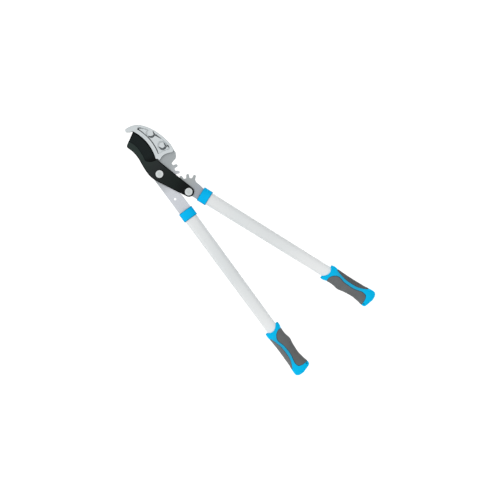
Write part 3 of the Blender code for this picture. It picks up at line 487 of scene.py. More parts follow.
def cut(piece, cutters):
    """Take shapes out of a piece for good."""
    for cutter_mesh in cutters:
        cutter = linked("cutter", mesh_data("cutter", cutter_mesh))
        modifier = piece.modifiers.new("cut", "BOOLEAN")
        modifier.solver = "EXACT"
        modifier.object = cutter
        bpy.context.view_layer.update()
        result = bpy.data.meshes.new_from_object(piece.evaluated_get(bpy.context.evaluated_depsgraph_get()))
        piece.modifiers.clear()
        piece.data = result
        bpy.data.objects.remove(cutter)


def soften(piece, width, angle=35, slot=-1):
    """Round off the edges that are sharper than an angle."""
    modifier = piece.modifiers.new("soften", "BEVEL")
    modifier.material = slot
    modifier.width = width
    modifier.segments = 2
    modifier.limit_method = "ANGLE"
    modifier.angle_limit = radians(angle)
    modifier.harden_normals = True
    modifier.use_clamp_overlap = True


# Finishes

JAW_AXIS = Vector((-0.2019, 0.9794))
BLUE_COLOUR = (0.0, 0.505, 0.945)
GRIP_COLOUR = (0.0, 0.540, 0.940)
BAND_SHADE_COLOUR = (0.020, 0.405, 0.665)
BAND_SHADE_SPAN = 0.1500


def fill_ramp(node, stops):
    """Give a colour ramp its (position, colour) stops."""
    elements = node.color_ramp.elements
    for element, (position, colour) in zip(elements[:], (stops[0], stops[-1])):
        element.position = position
        element.color = (*colour, 1)
    for position, colour in stops[1:-1]:
        elements.new(position).color = (*colour, 1)


class Finish:
    """A material whose colour, roughness and relief come from textures fixed to the object."""

    def __init__(self, name, metallic=0.0, specular=0.5, coat=0.0, coat_roughness=0.1):
        self.material = bpy.data.materials.new(name)
        self.material.use_nodes = True
        self.tree = self.material.node_tree
        self.shader = self.tree.nodes["Principled BSDF"]
        for socket, value in {"Metallic": metallic, "Specular IOR Level": specular, "Coat Weight": coat,
                              "Coat Roughness": coat_roughness}.items():
            self.shader.inputs[socket].default_value = value
        self.place = self.tree.nodes.new("ShaderNodeTexCoord").outputs["Object"]
        self.height = None

    def node(self, kind, *values, settings=None, **inputs):
        """A node with values or links for its first sockets, or for those named."""
        made = self.tree.nodes.new("ShaderNode" + kind)
        for name, value in (settings or {}).items():
            setattr(made, name, value)
        for socket, value in zip(made.inputs, values):
            self.feed(socket, value)
        for name, value in inputs.items():
            self.feed(made.inputs[name.replace("_", " ")], value)
        return made

    def feed(self, socket, value):
        if isinstance(value, bpy.types.NodeSocket):
            self.tree.links.new(value, socket)
        else:
            socket.default_value = value

    def vector(self, operation, *values):
        return self.node("VectorMath", *values, settings={"operation": operation}).outputs

    def moved(self, stretch=(1, 1, 1), turn=0, centre=(0, 0, 0)):
        shifted = self.vector("SUBTRACT", self.place, centre)[0]
        return self.node("Mapping", shifted, Rotation=(0, 0, radians(turn)), Scale=stretch).outputs[0]

    def along(self, origin, axis):
        """Distance from a plan point in a plan direction."""
        shifted = self.vector("SUBTRACT", self.place, (origin.x, origin.y, 0))[0]
        return self.vector("DOT_PRODUCT", shifted, (axis.x, axis.y, 0))["Value"]

    def away(self, centre):
        """Distance from an upright axis."""
        return self.vector("LENGTH", self.moved((1, 1, 0), centre=(centre.x, centre.y, 0)))["Value"]

    def noise(self, scale, detail=2.0, roughness=0.5, place=None):
        return self.node("TexNoise", place or self.place, Scale=scale, Detail=detail,
                         Roughness=roughness).outputs["Fac"]

    def line_noise(self, along, scale, detail):
        return self.node("TexNoise", settings={"noise_dimensions": "1D"}, W=along, Scale=scale,
                         Detail=detail).outputs["Fac"]

    def cells(self, scale):
        return self.node("TexVoronoi", self.place, Scale=scale).outputs["Distance"]

    def ramp(self, source, *stops):
        made = self.node("ValToRGB", source)
        fill_ramp(made, stops)
        return made.outputs["Color"]

    def mix(self, share, one, two, blend="MIX"):
        made = self.node("Mix", share, settings={"data_type": "RGBA", "blend_type": blend})
        self.feed(made.inputs[6], one)
        self.feed(made.inputs[7], two)
        return made.outputs[2]

    def tones(self, source, dark, light):
        """A colour that goes from dark to light over the middle of a texture's range."""
        return self.ramp(source, (0.3, dark), (0.7, light))

    def mottle(self, base, share, source, dark, low=0.3, high=0.7, light=(1.0, 1.0, 1.0)):
        """A colour times one that goes from dark to light as a texture goes from low to high."""
        return self.mix(share, base, self.ramp(source, (low, dark), (high, light)), "MULTIPLY")

    def between(self, source, low, high, start=0.0, end=1.0):
        """A value taken from the range start to end to the range low to high."""
        return self.node("MapRange", source, start, end, low, high).outputs[0]

    def relief(self, source, distance, strength=1.0):
        """Adds a bump of a real height."""
        bump = self.node("Bump", Height=source, Distance=distance, Strength=strength)
        if self.height:
            self.tree.links.new(self.height, bump.inputs["Normal"])
        self.height = bump.outputs["Normal"]

    def done(self, colour, roughness, relief):
        """The finished material. Its roughness is a texture with the values at its ends, and its relief a
        texture with a height and a strength."""
        self.feed(self.shader.inputs["Base Color"], colour)
        self.feed(self.shader.inputs["Roughness"], self.between(*roughness))
        self.relief(*relief)
        self.feed(self.shader.inputs["Normal"], self.height)
        return self.material


def grey(level):
    return (level,) * 3


def shade(colour, factor):
    return tuple(min(1.0, channel * factor) for channel in colour)


def steel(name, colour, painted_far_colour, near, far, turn):
    """Stamped plate with a brushed face, whose tone drifts from one end to the other as painted light."""
    look = Finish(name, metallic=0.75, specular=0.4)
    grain = look.noise(1.0, 3.0, 0.6, look.moved((60, 2600, 400), turn))
    cloud = look.noise(38.0, 3.0)
    # Painted light: the colour shifts along the plan from one end's to the other's.
    height = look.node("SeparateXYZ", look.place).outputs["Y"]
    base = look.mix(look.between(height, 0, 1, near, far), (*colour, 1), (*painted_far_colour, 1))
    base = look.mottle(base, 0.5, grain, grey(0.80))
    base = look.mottle(base, 0.6, cloud, (0.90, 0.91, 0.92))
    return look.done(base, (grain, 0.36, 0.56), (grain, 0.00002))


def coating():
    """Dark non-stick coating with a faint orange peel and specks, deeper towards the arm's end."""
    look = Finish("black_coating", specular=0.08)
    cloud = look.noise(55.0, 3.0)
    specks = look.noise(1300.0, 2.0, 0.7)
    share = look.between(look.along(GEAR, JAW_AXIS), 0, 1, 0, 0.150)
    base = look.ramp(share, (0.00, (0.0030, 0.0040, 0.0042)), (0.13, (0.0050, 0.0070, 0.0070)),
                     (0.27, (0.0095, 0.0165, 0.0145)), (0.50, (0.0150, 0.0205, 0.0195)),
                     (0.66, (0.0240, 0.0290, 0.0300)), (0.80, (0.0270, 0.0370, 0.0345)),
                     (1.00, (0.0290, 0.0440, 0.0400)))
    base = look.mottle(base, 0.6, cloud, grey(0.80))
    base = look.mottle(base, 0.5, specks, grey(0.7), 0.35, 0.75)
    return look.done(base, (cloud, 0.34, 0.48), (specks, 0.00003))


def blade_painted_edge_shade():
    """Painted shade along the blade's rounded edges and borders: the coating drawn nearly black there."""
    look = Finish("blade_painted_edge_shade", specular=0.02)
    specks = look.noise(900.0, 2.0, 0.7)
    base = look.tones(specks, (0.0006, 0.0008, 0.0009), (0.0016, 0.0020, 0.0021))
    return look.done(base, (specks, 0.40, 0.52), (specks, 0.00002))


def ground_face():
    """The blade's ground zone: coated too, with the marks of the wheel across it, and painted shade that
    turns it black at the heel.
    """
    look = Finish("ground_face", specular=0.08)
    part = look.node("SeparateXYZ", look.moved(centre=(MAIN.x + CUT_CENTRE.x, MAIN.y + CUT_CENTRE.y, 0)))
    angle = look.node("Math", part.outputs["Y"], part.outputs["X"],
                      settings={"operation": "ARCTAN2"}).outputs[0]
    marks = look.line_noise(angle, 160.0, 4.0)
    cloud = look.noise(45.0)
    base = look.ramp(marks, (0.35, (0.0075, 0.0125, 0.0130)), (0.65, (0.0115, 0.0175, 0.0175)))
    base = look.mottle(base, 0.5, cloud, grey(0.8))
    # Painted shade at the foot of the heel's step: the ground zone goes black there.
    heel = look.between(angle, 0.15, 1.0, radians(-33.5), radians(-25.0))
    base = look.mottle(base, 1.0, heel, grey(0.0), 0.0, 1.0)
    return look.done(base, (marks, 0.30, 0.44), (marks, 0.00002))


def silver_paint(name, light, dark, metallic):
    """Metallic paint on a casting: fine flakes over a faint cast skin."""
    look = Finish(name, metallic=metallic, specular=0.4)
    cast = look.noise(420.0, 3.0, 0.6)
    cloud = look.noise(60.0)
    base = look.tones(cloud, dark, light)
    base = look.mottle(base, 0.35, look.cells(2600.0), (0.82, 0.84, 0.86), 0.1, 0.6)
    return look.done(base, (cast, 0.30, 0.42), (cast, 0.00006, 0.7))


def zinc(name, centre, colour):
    """Plated steel, turned, so its fine rings run round an axis, with a painted highlight towards its rim.
    """
    look = Finish(name, metallic=0.85, specular=0.5)
    away = look.away(centre)
    rings = look.line_noise(away, 2600.0, 2.0)
    bands = look.noise(1.0, 2.0, 0.6, look.moved((500, 60, 60), 42.75))
    cloud = look.noise(170.0, 3.0)
    base = look.tones(cloud, shade(colour, 0.94), shade(colour, 1.04))
    base = look.mottle(base, 0.25, rings, grey(0.84), 0.35, 0.65)
    base = look.mottle(base, 0.5, bands, (0.84, 0.85, 0.85), 0.35, 0.65)
    # Painted highlight: the rim drawn lighter than the middle.
    rim = look.between(away, 0, 1, 0.0045, 0.0085)
    base = look.mottle(base, 1.0, rim, (0.88, 0.89, 0.89), 0.0, 1.0, grey(1.06))
    return look.done(base, (rings, 0.28, 0.44), (rings, 0.000015))


def enamel():
    """White gloss enamel over steel tube, with painted light that makes it lightest towards the grips."""
    look = Finish("white_enamel", specular=0.45, coat=0.3, coat_roughness=0.08)
    peel = look.noise(520.0, 1.0)
    cloud = look.noise(14.0)
    # Painted light: the tone dips over the tube's middle and is lightest towards the grips.
    way = look.between(look.along(MAIN, Vector((0, -1))), 0, 1, 0.10, 0.52)
    base = look.ramp(way, (0.0, (0.815, 0.835, 0.840)), (0.5, (0.765, 0.790, 0.795)),
                     (1.0, (0.905, 0.915, 0.915)))
    base = look.mottle(base, 0.5, cloud, (0.93, 0.96, 0.97))
    return look.done(base, (cloud, 0.22, 0.32), (peel, 0.00003, 0.5))


def plastic(name, colour, specular, roughness=0.42):
    """Moulded plastic with a fine spark-eroded grain."""
    look = Finish(name, specular=specular)
    grain = look.noise(1500.0, 2.0, 0.6)
    base = look.tones(look.noise(40.0), shade(colour, 0.95), shade(colour, 1.05))
    return look.done(base, (grain, roughness - 0.06, roughness + 0.08), (grain, 0.00004, 0.6))


def grip_plastic(handle):
    """The grip's blue, with painted shade that makes it darker between the pads."""
    look = Finish(f"blue_plastic_{handle.name}_grip", specular=0.05)
    grain = look.noise(1500.0, 2.0, 0.6)
    # Painted shade: a darker blue along the band between the pads.
    station = look.between(look.along(handle.pivot, handle_axis(handle)), 0, 1, handle.grip,
                           handle.grip + BAND_SHADE_SPAN)
    base = look.ramp(station, (0.15, GRIP_COLOUR), (0.27, BAND_SHADE_COLOUR), (0.62, BAND_SHADE_COLOUR),
                     (0.76, GRIP_COLOUR))
    base = look.mottle(base, 0.5, look.noise(40.0), (0.90, 0.92, 0.94))
    return look.done(base, (grain, 0.38, 0.52), (grain, 0.00004, 0.6))


def rubber(name, tone):
    """Soft over-moulding with a leather-like grain."""
    look = Finish(name, specular=0.25)
    grain = look.cells(900.0)
    fine = look.noise(2400.0)
    base = look.tones(look.noise(32.0, 3.0), shade((0.122, 0.128, 0.130), tone),
                      shade((0.150, 0.157, 0.159), tone))
    base = look.mottle(base, 0.5, grain, grey(0.78), 0.1, 0.5)
    look.relief(grain, 0.00007, 0.8)
    return look.done(base, (fine, 0.62, 0.82), (fine, 0.00002))


def nylon():
    look = Finish("white_nylon", specular=0.3)
    cloud = look.noise(90.0, 3.0)
    base = look.tones(cloud, (0.66, 0.66, 0.64), (0.74, 0.74, 0.72))
    return look.done(base, (cloud, 0.5, 0.65), (look.noise(900.0), 0.00003))


BLUE = plastic("blue_plastic", BLUE_COLOUR, 0.05)
# Painted shade: a darker blue for rounded ends, steep sides and small hollows.
BLUE_SHADE = plastic("blue_plastic_painted_shade", (0.000, 0.270, 0.480), 0.03)
# Painted shadow: a dark navy blue for the gaps beside the pads.
GAP_SHADE = plastic("blue_plastic_gap_shade", (0.004, 0.060, 0.120), 0.02, roughness=0.6)
GRIP_BLUE = {handle.name: grip_plastic(handle) for handle in HANDLES}
# Each pad's factor is painted light: the one rubber drawn lighter or darker by how light falls on that pad.
RUBBER = {name: rubber(f"grey_rubber_{name}", tone) for name, tone in
          {"lower_finger": 1.0, "lower_palm": 1.30, "upper_finger": 1.08, "upper_palm": 0.76}.items()}
ENAMEL = enamel()
NYLON = nylon()
SILVER = silver_paint("silver_paint", (0.635, 0.675, 0.69), (0.590, 0.635, 0.65), 0.35)
# Painted shade for the cover's grooves: near-black on the deepest faces, dark silver on those above.
GROOVE_DEEP_SHADE = silver_paint("silver_painted_deep_shade", (0.045, 0.055, 0.062), (0.030, 0.038, 0.044), 0.2)
GROOVE_SHADE = silver_paint("silver_painted_shade", (0.105, 0.120, 0.130), (0.080, 0.093, 0.102), 0.2)
BLACK = coating()
EDGE_SHADE = blade_painted_edge_shade()
GROUND = ground_face()
ZINC = {"main": zinc("zinc_main", MAIN, (0.62, 0.65, 0.65)),
        "gear": zinc("zinc_gear", GEAR, (0.60, 0.63, 0.63))}
DARK = {name: zinc(f"dark_steel_{name}", centre, (0.020, 0.021, 0.022))
        for name, centre in {"main": MAIN, "gear": GEAR}.items()}
LOWER_STEEL = steel("steel_lower", (0.39, 0.42, 0.43), (0.64, 0.66, 0.70), 0.230, 0.185, HANDLE_SPREAD)
UPPER_STEEL = steel("steel_upper", (0.40, 0.425, 0.43), (0.38, 0.41, 0.46), 0.165, 0.125, -HANDLE_SPREAD)


# Jaws

def blade():
    shoulder, notch, tip, grind_end, back = by_edge([ARM_SHOULDER, BLADE_NOTCH, BLADE_TIP, GRIND_END,
                                                     BLADE_BACK])
    spine = smooth([*by_edge(SPINE), *HUB_SIDE])
    gear = Vector((GEAR.x - MAIN.x, GEAR.y - MAIN.y))
    arm_end = gear + ARM_END_SHIFT
    arm = arc(arm_end, ARM_END_RADIUS, touch(spine[-1], arm_end, ARM_END_RADIUS, 1),
              360 + touch(shoulder, arm_end, ARM_END_RADIUS, -1))
    edge = arc(CUT_CENTRE, CUT_RADIUS, CUT_HEEL, CUT_TIP)
    edge += fillet(edge[-1], tip, grind_end, BLADE_TIP_ROUND)
    ground = spread(smooth([notch, *by_edge(GRIND_LINE), grind_end]), len(edge) + 2)[1:-1]
    before = [*arm, shoulder, notch]
    after = [grind_end, *fillet(grind_end, back, spine[0], BLADE_BACK_ROUND), *spine[1:]]
    levels = [(BLADE_BOTTOM, before + edge + after)]
    for share, height in GRIND_PROFILE:
        row = [one.lerp(two, share) for one, two in zip(edge, ground)]
        levels.append((BLADE_BOTTOM + height, before + row + after))
    # The flat top's dark border is painted shade along the blade's edges, and runs all round but for the
    # ground zone.
    widths = ([EDGE_SHADE_WIDTH] * (len(before) - 1) + [0.0] * (len(ground) + 2)
              + [EDGE_SHADE_WIDTH] * (len(after) - 1))
    levels.append((BLADE_TOP, parallel(levels[-1][1], widths, closed=True)))
    mesh = prism(levels, [arc(centre, BOLT / 2 + AIR, 0, 360)[:-1] for centre in (Vector((0, 0)), gear)])
    bmesh.ops.remove_doubles(mesh, verts=mesh.verts, dist=MERGE_DISTANCE)
    bmesh.ops.recalc_face_normals(mesh, faces=mesh.faces)
    weight = mesh.edges.layers.float.new("bevel_weight_edge")
    for side in mesh.edges:
        if side.calc_face_angle(0) > radians(BLADE_CORNER):
            high = min(vertex.co.z for vertex in side.verts) > MAIN.z + BLADE_TOP - LEVEL_GAP
            side[weight] = 1.0 if high else LOW_EDGE_WEIGHT
    piece = new_piece("blade", mesh, "blade_body", "black_coating", BLACK, GROUND, EDGE_SHADE, sharp=9)
    # Painted shade: the ground faces by the cutting edge and by the tip end, the top's border and the
    # rounded edges all take the near-black edge finish.
    end_line = left_of(grind_end - tip)
    for face in piece.data.polygons:
        spot = Vector((face.center.x - MAIN.x, face.center.y - MAIN.y))
        if GROUND_LEAN[0] < face.normal.z < GROUND_LEAN[1]:
            low = face.center.z - MAIN.z < BLADE_BOTTOM + EDGE_STRIP
            face.material_index = 2 if low or end_line.dot(spot - tip) < EDGE_SHADE_AT_END else 1
        elif face.normal.z > 0 and len(face.vertices) == 4:
            # The top within its border is made of triangles, so this is the border.
            face.material_index = 2
    soften(piece, BLADE_EDGE_ROUND, slot=2)
    piece.modifiers["soften"].limit_method = "WEIGHT"


def cover_body():
    """The casting without its pocket, with an outer edge that is rounder at the back than in front."""
    back = smooth(by_edge(HOOK_BACK + HOOK_NOSE))
    foot = smooth([*by_edge(COVER_FOOT), back[0]])[:-1]
    edge = arc(CUT_CENTRE, CUT_RADIUS + AIR, HOOK_TIP, CUT_HEEL)
    blade_edge = arc(CUT_CENTRE, CUT_RADIUS, CUT_HEEL, CUT_TIP)
    heel = parallel([*by_edge([BLADE_NOTCH]), *blade_edge[:2]], -AIR)[1]
    front = [*edge[:-1], heel, *by_edge([COVER_HEEL])]
    outline = [*foot, *back, *front]
    rounds = np.repeat(COVER_ROUNDS, [len(foot), len(back) - NOSE_POINTS, NOSE_POINTS, len(front)])
    for _ in range(ROUND_BLENDS):
        rounds = (np.roll(rounds, 1) + rounds + np.roll(rounds, -1)) / 3
    levels = [(BLADE_BOTTOM, outline)]
    for drop, inset in quarter(1, 5):
        levels.append((COVER_TOP - COVER_ROUND_DROP * drop,
                       parallel(outline, [float(width) * inset for width in rounds], closed=True)))
    return prism(levels)


def pocket(floor):
    """The hollow between ridge and rim, round the bosses. Its wall along the ridge is upright, and the
    others lean."""
    ridge = arc(CUT_CENTRE, CUT_RADIUS + RIDGE_WIDTH, POCKET_TOP, POCKET_BOTTOM)
    rim = parallel(smooth(by_edge(HOOK_BACK[1:6])), RIM_WIDTH)
    mouth = rounded([*zip(by_edge(POCKET_FOOT), POCKET_FOOT_ROUNDS), *rim,
                     (by_edge([POCKET_HEAD])[0], POCKET_ROUND), (ridge[0], POCKET_ROUND), *ridge[1:-1],
                     (ridge[-1], POCKET_ROUND)])
    drafts = [float(np.interp(beyond_edge(point), [RIDGE_WIDTH, RIDGE_WIDTH + DRAFT_START],
                              [RIDGE_DRAFT, POCKET_DRAFT])) for point in mouth]
    hollow = prism([(floor, parallel(mouth, drafts, closed=True)), (COVER_TOP, mouth),
                    (COVER_TOP + POCKET_DEPTH, mouth)])
    shape = linked("pocket", mesh_data("pocket", hollow))
    bosses = []
    for spot, radius in BOSSES.values():
        centre = by_edge([spot])[0]
        flank = [(floor - POCKET_DEPTH, BOSS_DRAFT), (floor, BOSS_DRAFT),
                 *[(COVER_TOP - drop, out) for drop, out in BOSS_RIM],
                 (COVER_TOP + 2 * POCKET_DEPTH, BOSS_RIM[-1][1])]
        bosses.append(prism([(height, even_circle(centre, radius + out)) for height, out in flank]))
    cut(shape, bosses)
    whole = bmesh.new()
    whole.from_mesh(shape.data)
    bpy.data.objects.remove(shape)
    return whole


def cover():
    piece = new_piece("hook_cover", cover_body(), "lower_handle", "silver_paint", SILVER, GROOVE_DEEP_SHADE, GROOVE_SHADE)
    floor = COVER_TOP - POCKET_DEPTH
    line = [(float(angle), RIDGE_LINE) for angle in np.linspace(*RIDGE_LINE_ENDS, 12)]
    strokes = [(points, widths, floor - depth, floor + GROOVE_RISE) for points, widths, depth in GROOVES]
    strokes += [(points, widths, floor - CRESCENT_DEPTH, floor + CRESCENT_TOP)
                for points, widths in CRESCENTS]
    strokes += [(line, RIDGE_LINE_WIDTHS, COVER_TOP - RIDGE_LINE_DEPTH, COVER_TOP + AIR)]
    grooves = []
    for points, widths, low, high in strokes:
        outline = stroke(by_edge(points), widths)
        grooves.append(prism([(low, outline), (high, outline)]))
    cut(piece, [pocket(floor), *grooves])
    # Faces below the pocket's floor get painted shade, darkest where the grooves cut deepest.
    for face in piece.data.polygons:
        height = face.center.z - MAIN.z
        if BLADE_BOTTOM + 5 * LEVEL_GAP < height < floor - LEVEL_GAP:
            face.material_index = 1 if height < floor - CRESCENT_DEPTH - LEVEL_GAP else 2
    shade_smooth(piece, 30)
    soften(piece, FINE_ROUND)


def rivet(name):
    spot = by_edge([BOSSES[name][0]])[0]
    centre = Vector((MAIN.x + spot.x, MAIN.y + spot.y, MAIN.z))
    profile = [(radius, SPRING_WASHER_TOP - drop) for radius, drop in RIVET_HEAD]
    profile += [(RIVET_RADIUS, SPRING_WASHER_TOP), (RIVET_RADIUS, RIVET_TOP), (AXIS_GAP, RIVET_TOP)]
    new_piece(f"cover_rivet_{name}", turned(centre, profile), "lower_handle", "zinc", ZINC["main"])


# Pivot hardware

def bolt(name, centre, body):
    shank = BOLT / 2
    profile = [(AXIS_GAP, BOLT_END), *[(shank + out, BOLT_END + up) for out, up in BOLT_TIP]]
    for i in range(THREAD_TURNS):
        start = profile[2][1] + THREAD_PITCH * i
        profile += [(shank + out, start + up) for out, up in THREAD]
    profile += [(shank, SPRING_WASHER_TOP), (shank, HEAD_BOTTOM), (HEAD_RADIUS, HEAD_BOTTOM)]
    profile += [(HEAD_RADIUS - inset, HEAD_TOP - drop) for drop, inset in quarter(HEAD_ROUND)]
    profile += [(AXIS_GAP, HEAD_TOP)]
    new_piece(f"{name}_pivot_bolt", turned(centre, profile), body, "zinc", ZINC[name])


def washer(name, centre, body):
    bore = BOLT / 2 + AIR
    profile = [(bore, WASHER_BOTTOM), (WASHER_RADIUS, WASHER_BOTTOM),
               (WASHER_RADIUS, WASHER_TOP - WASHER_CHAMFER), (WASHER_RADIUS - WASHER_CHAMFER, WASHER_TOP),
               (bore, WASHER_TOP)]
    new_piece(f"{name}_pivot_washer", turned(centre, profile, looped=True), body, "dark_steel", DARK[name])


def nut(name, centre, body):
    def hexagon(turn):
        return NUT_HALF_WIDTH / cos(turn % (pi / 3) - pi / 6)

    bore = BOLT / 2 + AIR
    profile = [(bore, NUT_BOTTOM + BORE_CHAMFER), (bore + BORE_CHAMFER, NUT_BOTTOM),
               (NUT_HALF_WIDTH, NUT_BOTTOM), (hexagon, NUT_BOTTOM + NUT_CHAMFER),
               (hexagon, NUT_TOP - NUT_CHAMFER), (NUT_HALF_WIDTH, NUT_TOP), (bore, NUT_TOP)]
    piece = new_piece(f"{name}_pivot_nut", turned(centre, profile, looped=True), body, "zinc", ZINC[name],
                      sharp=25)
    soften(piece, FINE_ROUND, angle=30)


# Handles

def place(handle, along, across, up):
    """A row-frame point from distances along a handle, across it (its inner side positive) and up."""
    spread_angle = radians(HANDLE_SPREAD)
    out = handle.offset - across
    return (handle.pivot.x + handle.side * (sin(spread_angle) * along + cos(spread_angle) * out),
            handle.pivot.y - cos(spread_angle) * along + sin(spread_angle) * out,
            handle.pivot.z + up)


def bulge(share, squareness):
    return abs(share) ** (2 / squareness) * (1 if share > 0 else -1)


def squircle(turn, squareness):
    """How far across and up, in shares of its half width and height, a blunt oval lies at a turn."""
    return bulge(cos(turn), squareness), bulge(sin(turn), squareness)


def tube_start(handle):
    return handle.collar + COLLAR_NOSE + AIR


def tube_end(handle):
    return handle.grip + GRIP_SOCKET - AIR


def half_width(handle, along):
    share = (along - tube_start(handle)) / (tube_end(handle) - tube_start(handle))
    return TUBE_HALF_WIDTHS[0] + (TUBE_HALF_WIDTHS[1] - TUBE_HALF_WIDTHS[0]) * share


def oval_point(handle, along, width, height, turn):
    across, up = squircle(turn, TUBE_SQUARENESS)
    return place(handle, along, width * across, height * up)


def oval(handle, along, width, height):
    return [oval_point(handle, along, width, height, turn) for turn in turns(OVAL_SIDES)]


def tube(handle):
    start, end = tube_start(handle), tube_end(handle)
    rings = []
    for along, inset in [(start, 0), (end, 0), (end, TUBE_WALL), (start, TUBE_WALL)]:
        rings.append(oval(handle, along, half_width(handle, along) - inset, TUBE_HALF_HEIGHT - inset))
    new_piece(f"{handle.name}_tube", skin(rings, looped=True), handle.body, "white_enamel", ENAMEL)


def collar(handle):
    front, back = handle.collar, handle.collar + COLLAR_LENGTH
    bottom = front + COLLAR_NOSE
    width = half_width(handle, bottom) + AIR
    height = TUBE_HALF_HEIGHT + AIR
    bore = [(bottom, 0), (back - COLLAR_MOUTH, 0), (back, COLLAR_MOUTH)]
    outer = [(back - drop, -inset) for inset, drop in quarter(COLLAR_ROUND)]
    outer += [(back - COLLAR_BORDER, 0), (front + COLLAR_BORDER, 0)]
    outer += [(front + drop, -inset) for inset, drop in reversed(quarter(COLLAR_ROUND))]
    rings = [oval(handle, along, width + out, height + out)
             for along, out in bore + [(along, COLLAR_WALL + out) for along, out in outer]]
    piece = new_piece(f"{handle.name}_collar", skin(rings), handle.body, "blue_plastic", BLUE, BLUE_SHADE)
    slot = bmesh.new()
    bmesh.ops.create_cube(slot, size=1)
    half = PLATE_TOP + AIR
    for vertex in slot.verts:
        low = [value < 0 for value in vertex.co]
        along = front - AIR if low[1] else bottom + AIR / 2
        across = -handle.tang_outer - AIR if low[0] else handle.tang_inner + AIR
        vertex.co = place(handle, along, across, -half if low[2] else half)
    cut(piece, [slot])
    # Painted shade on the collar's rounded ends and steep sides.
    for face in piece.data.polygons:
        along = handle_axis(handle).dot((face.center - handle.pivot).to_2d())
        if min(along - front, back - along) < COLLAR_BORDER or abs(face.normal.z) < COLLAR_SHADE_STEEP:
            face.material_index = 1
    shade_smooth(piece, 30)


# Grips

def table_curve(table, steps=12):
    curve = smooth(table, steps)
    return np.array([point.x for point in curve]), np.array([point.y for point in curve])


INNER, OUTER, HEIGHT = table_curve(GRIP_INNER), table_curve(GRIP_OUTER), table_curve(GRIP_HEIGHT)
PAD_CURVES = {name: table_curve(table) for name, table in PADS.items()}


def lip_shift(share):
    """How far the slanted, scalloped mouth lies behind its foremost point."""
    return LIP_SLANT * (1 - share) / 2 + LIP_SCALLOP * (1 - share ** 2)


def station_place(station, share):
    """The distance along the grip of a station, which follows the mouth near it."""
    return station + lip_shift(share) * max(0, 1 - station / FINGER_PAD[0][0])


def grip_point(handle, station, angle, depth=0.0):
    """On the grip's skin or below it; angle 0 is the inner side and 90 the top."""
    share, up = squircle(radians(angle), GRIP_SQUARENESS)
    table, side = (INNER, 1) if share > 0 else (OUTER, -1)
    width = np.interp(station_place(station, side), *table) - depth
    height = np.interp(station, *HEIGHT) - depth
    return place(handle, handle.grip + station_place(station, share), share * width, height * up)


def pad_edge(pad, station):
    """The angle of a pad's long edge at a station, and degrees for a metre square to it."""
    stations, edges = PAD_CURVES[pad]
    across = np.interp(station, stations, edges)
    width = np.interp(station, *(INNER if across > 0 else OUTER))
    share = min(abs(across) / width, CLEAR_SHARE) ** (GRIP_SQUARENESS / 2)
    angle = degrees(acos(share if across > 0 else -share))
    slope = 0.0
    if stations[0] < station < stations[-1]:
        behind, ahead = np.interp([station - SLOPE_STEP, station + SLOPE_STEP], stations, edges)
        slope = (ahead - behind) / (2 * SLOPE_STEP)
    one, two = [Vector(grip_point(LOWER, station, angle + turn)) for turn in (-1, 1)]
    return angle, 2 / (two - one).length * (1 + slope ** 2) ** 0.5


def half_ring(station):
    """Angles over the top, closer together by the pads' edges, with how far inside a pad each lies."""
    finger, finger_scale = pad_edge("finger", station)
    palm, palm_scale = pad_edge("palm", station)
    near = CORE_DROP[0]
    angles = [((finger - CORE_INSET * finger_scale) * i / FINGER_STEPS, "finger", 1.0)
              for i in range(FINGER_STEPS)]
    angles += [(finger - inside * finger_scale, "finger", inside) for inside in reversed(near)]
    start, end = finger - near[0] * finger_scale, palm + near[0] * palm_scale
    angles += [(start + (end - start) * i / BAND_STEPS, "none", 1.0) for i in range(1, BAND_STEPS)]
    angles += [(palm + inside * palm_scale, "palm", inside) for inside in near]
    start = palm + CORE_INSET * palm_scale
    angles += [(start + (180 - start) * i / PALM_STEPS, "palm", 1.0) for i in range(1, PALM_STEPS + 1)]
    return angles


def core_stations():
    """Where the core's rings lie: closer together at the pads' ends and the grip's."""
    stations = set(np.arange(CORE_START, CORE_END_STATIONS[0], STATION_STEP))
    for pad in PADS.values():
        for end, way in ((pad[0][0], 1), (pad[-1][0], -1)):
            stations = {station for station in stations if abs(station - end) > STATION_GAP}
            stations |= {end + way * step for step in CORE_DROP[0]}
    return sorted(stations | {*CORE_END_STATIONS, GRIP_HEIGHT[-1][0]})


def core_ring(handle, station):
    """Angles and depths round the core, which is sunk where a pad lies."""
    half = []
    for angle, pad, inside in half_ring(station):
        depth = 0.0
        if pad in PADS:
            inside = min(inside, station - PADS[pad][0][0], PADS[pad][-1][0] - station)
            depth = float(np.interp(inside, *CORE_DROP))
        half.append((angle, depth))
    return [*half, *[(-angle, depth) for angle, depth in reversed(half[1:-1])]]


def socket_ring(handle, angles, depth):
    """A ring of the core's socket: at its bottom, or at the lip where the depth is 0."""
    ring = []
    for turn in [radians(angle) for angle in angles]:
        along = handle.grip + (depth or station_place(0, bulge(cos(turn), GRIP_SQUARENESS)))
        ring.append(oval_point(handle, along, half_width(handle, along) + AIR, TUBE_HALF_HEIGHT + AIR,
                               turn))
    return ring


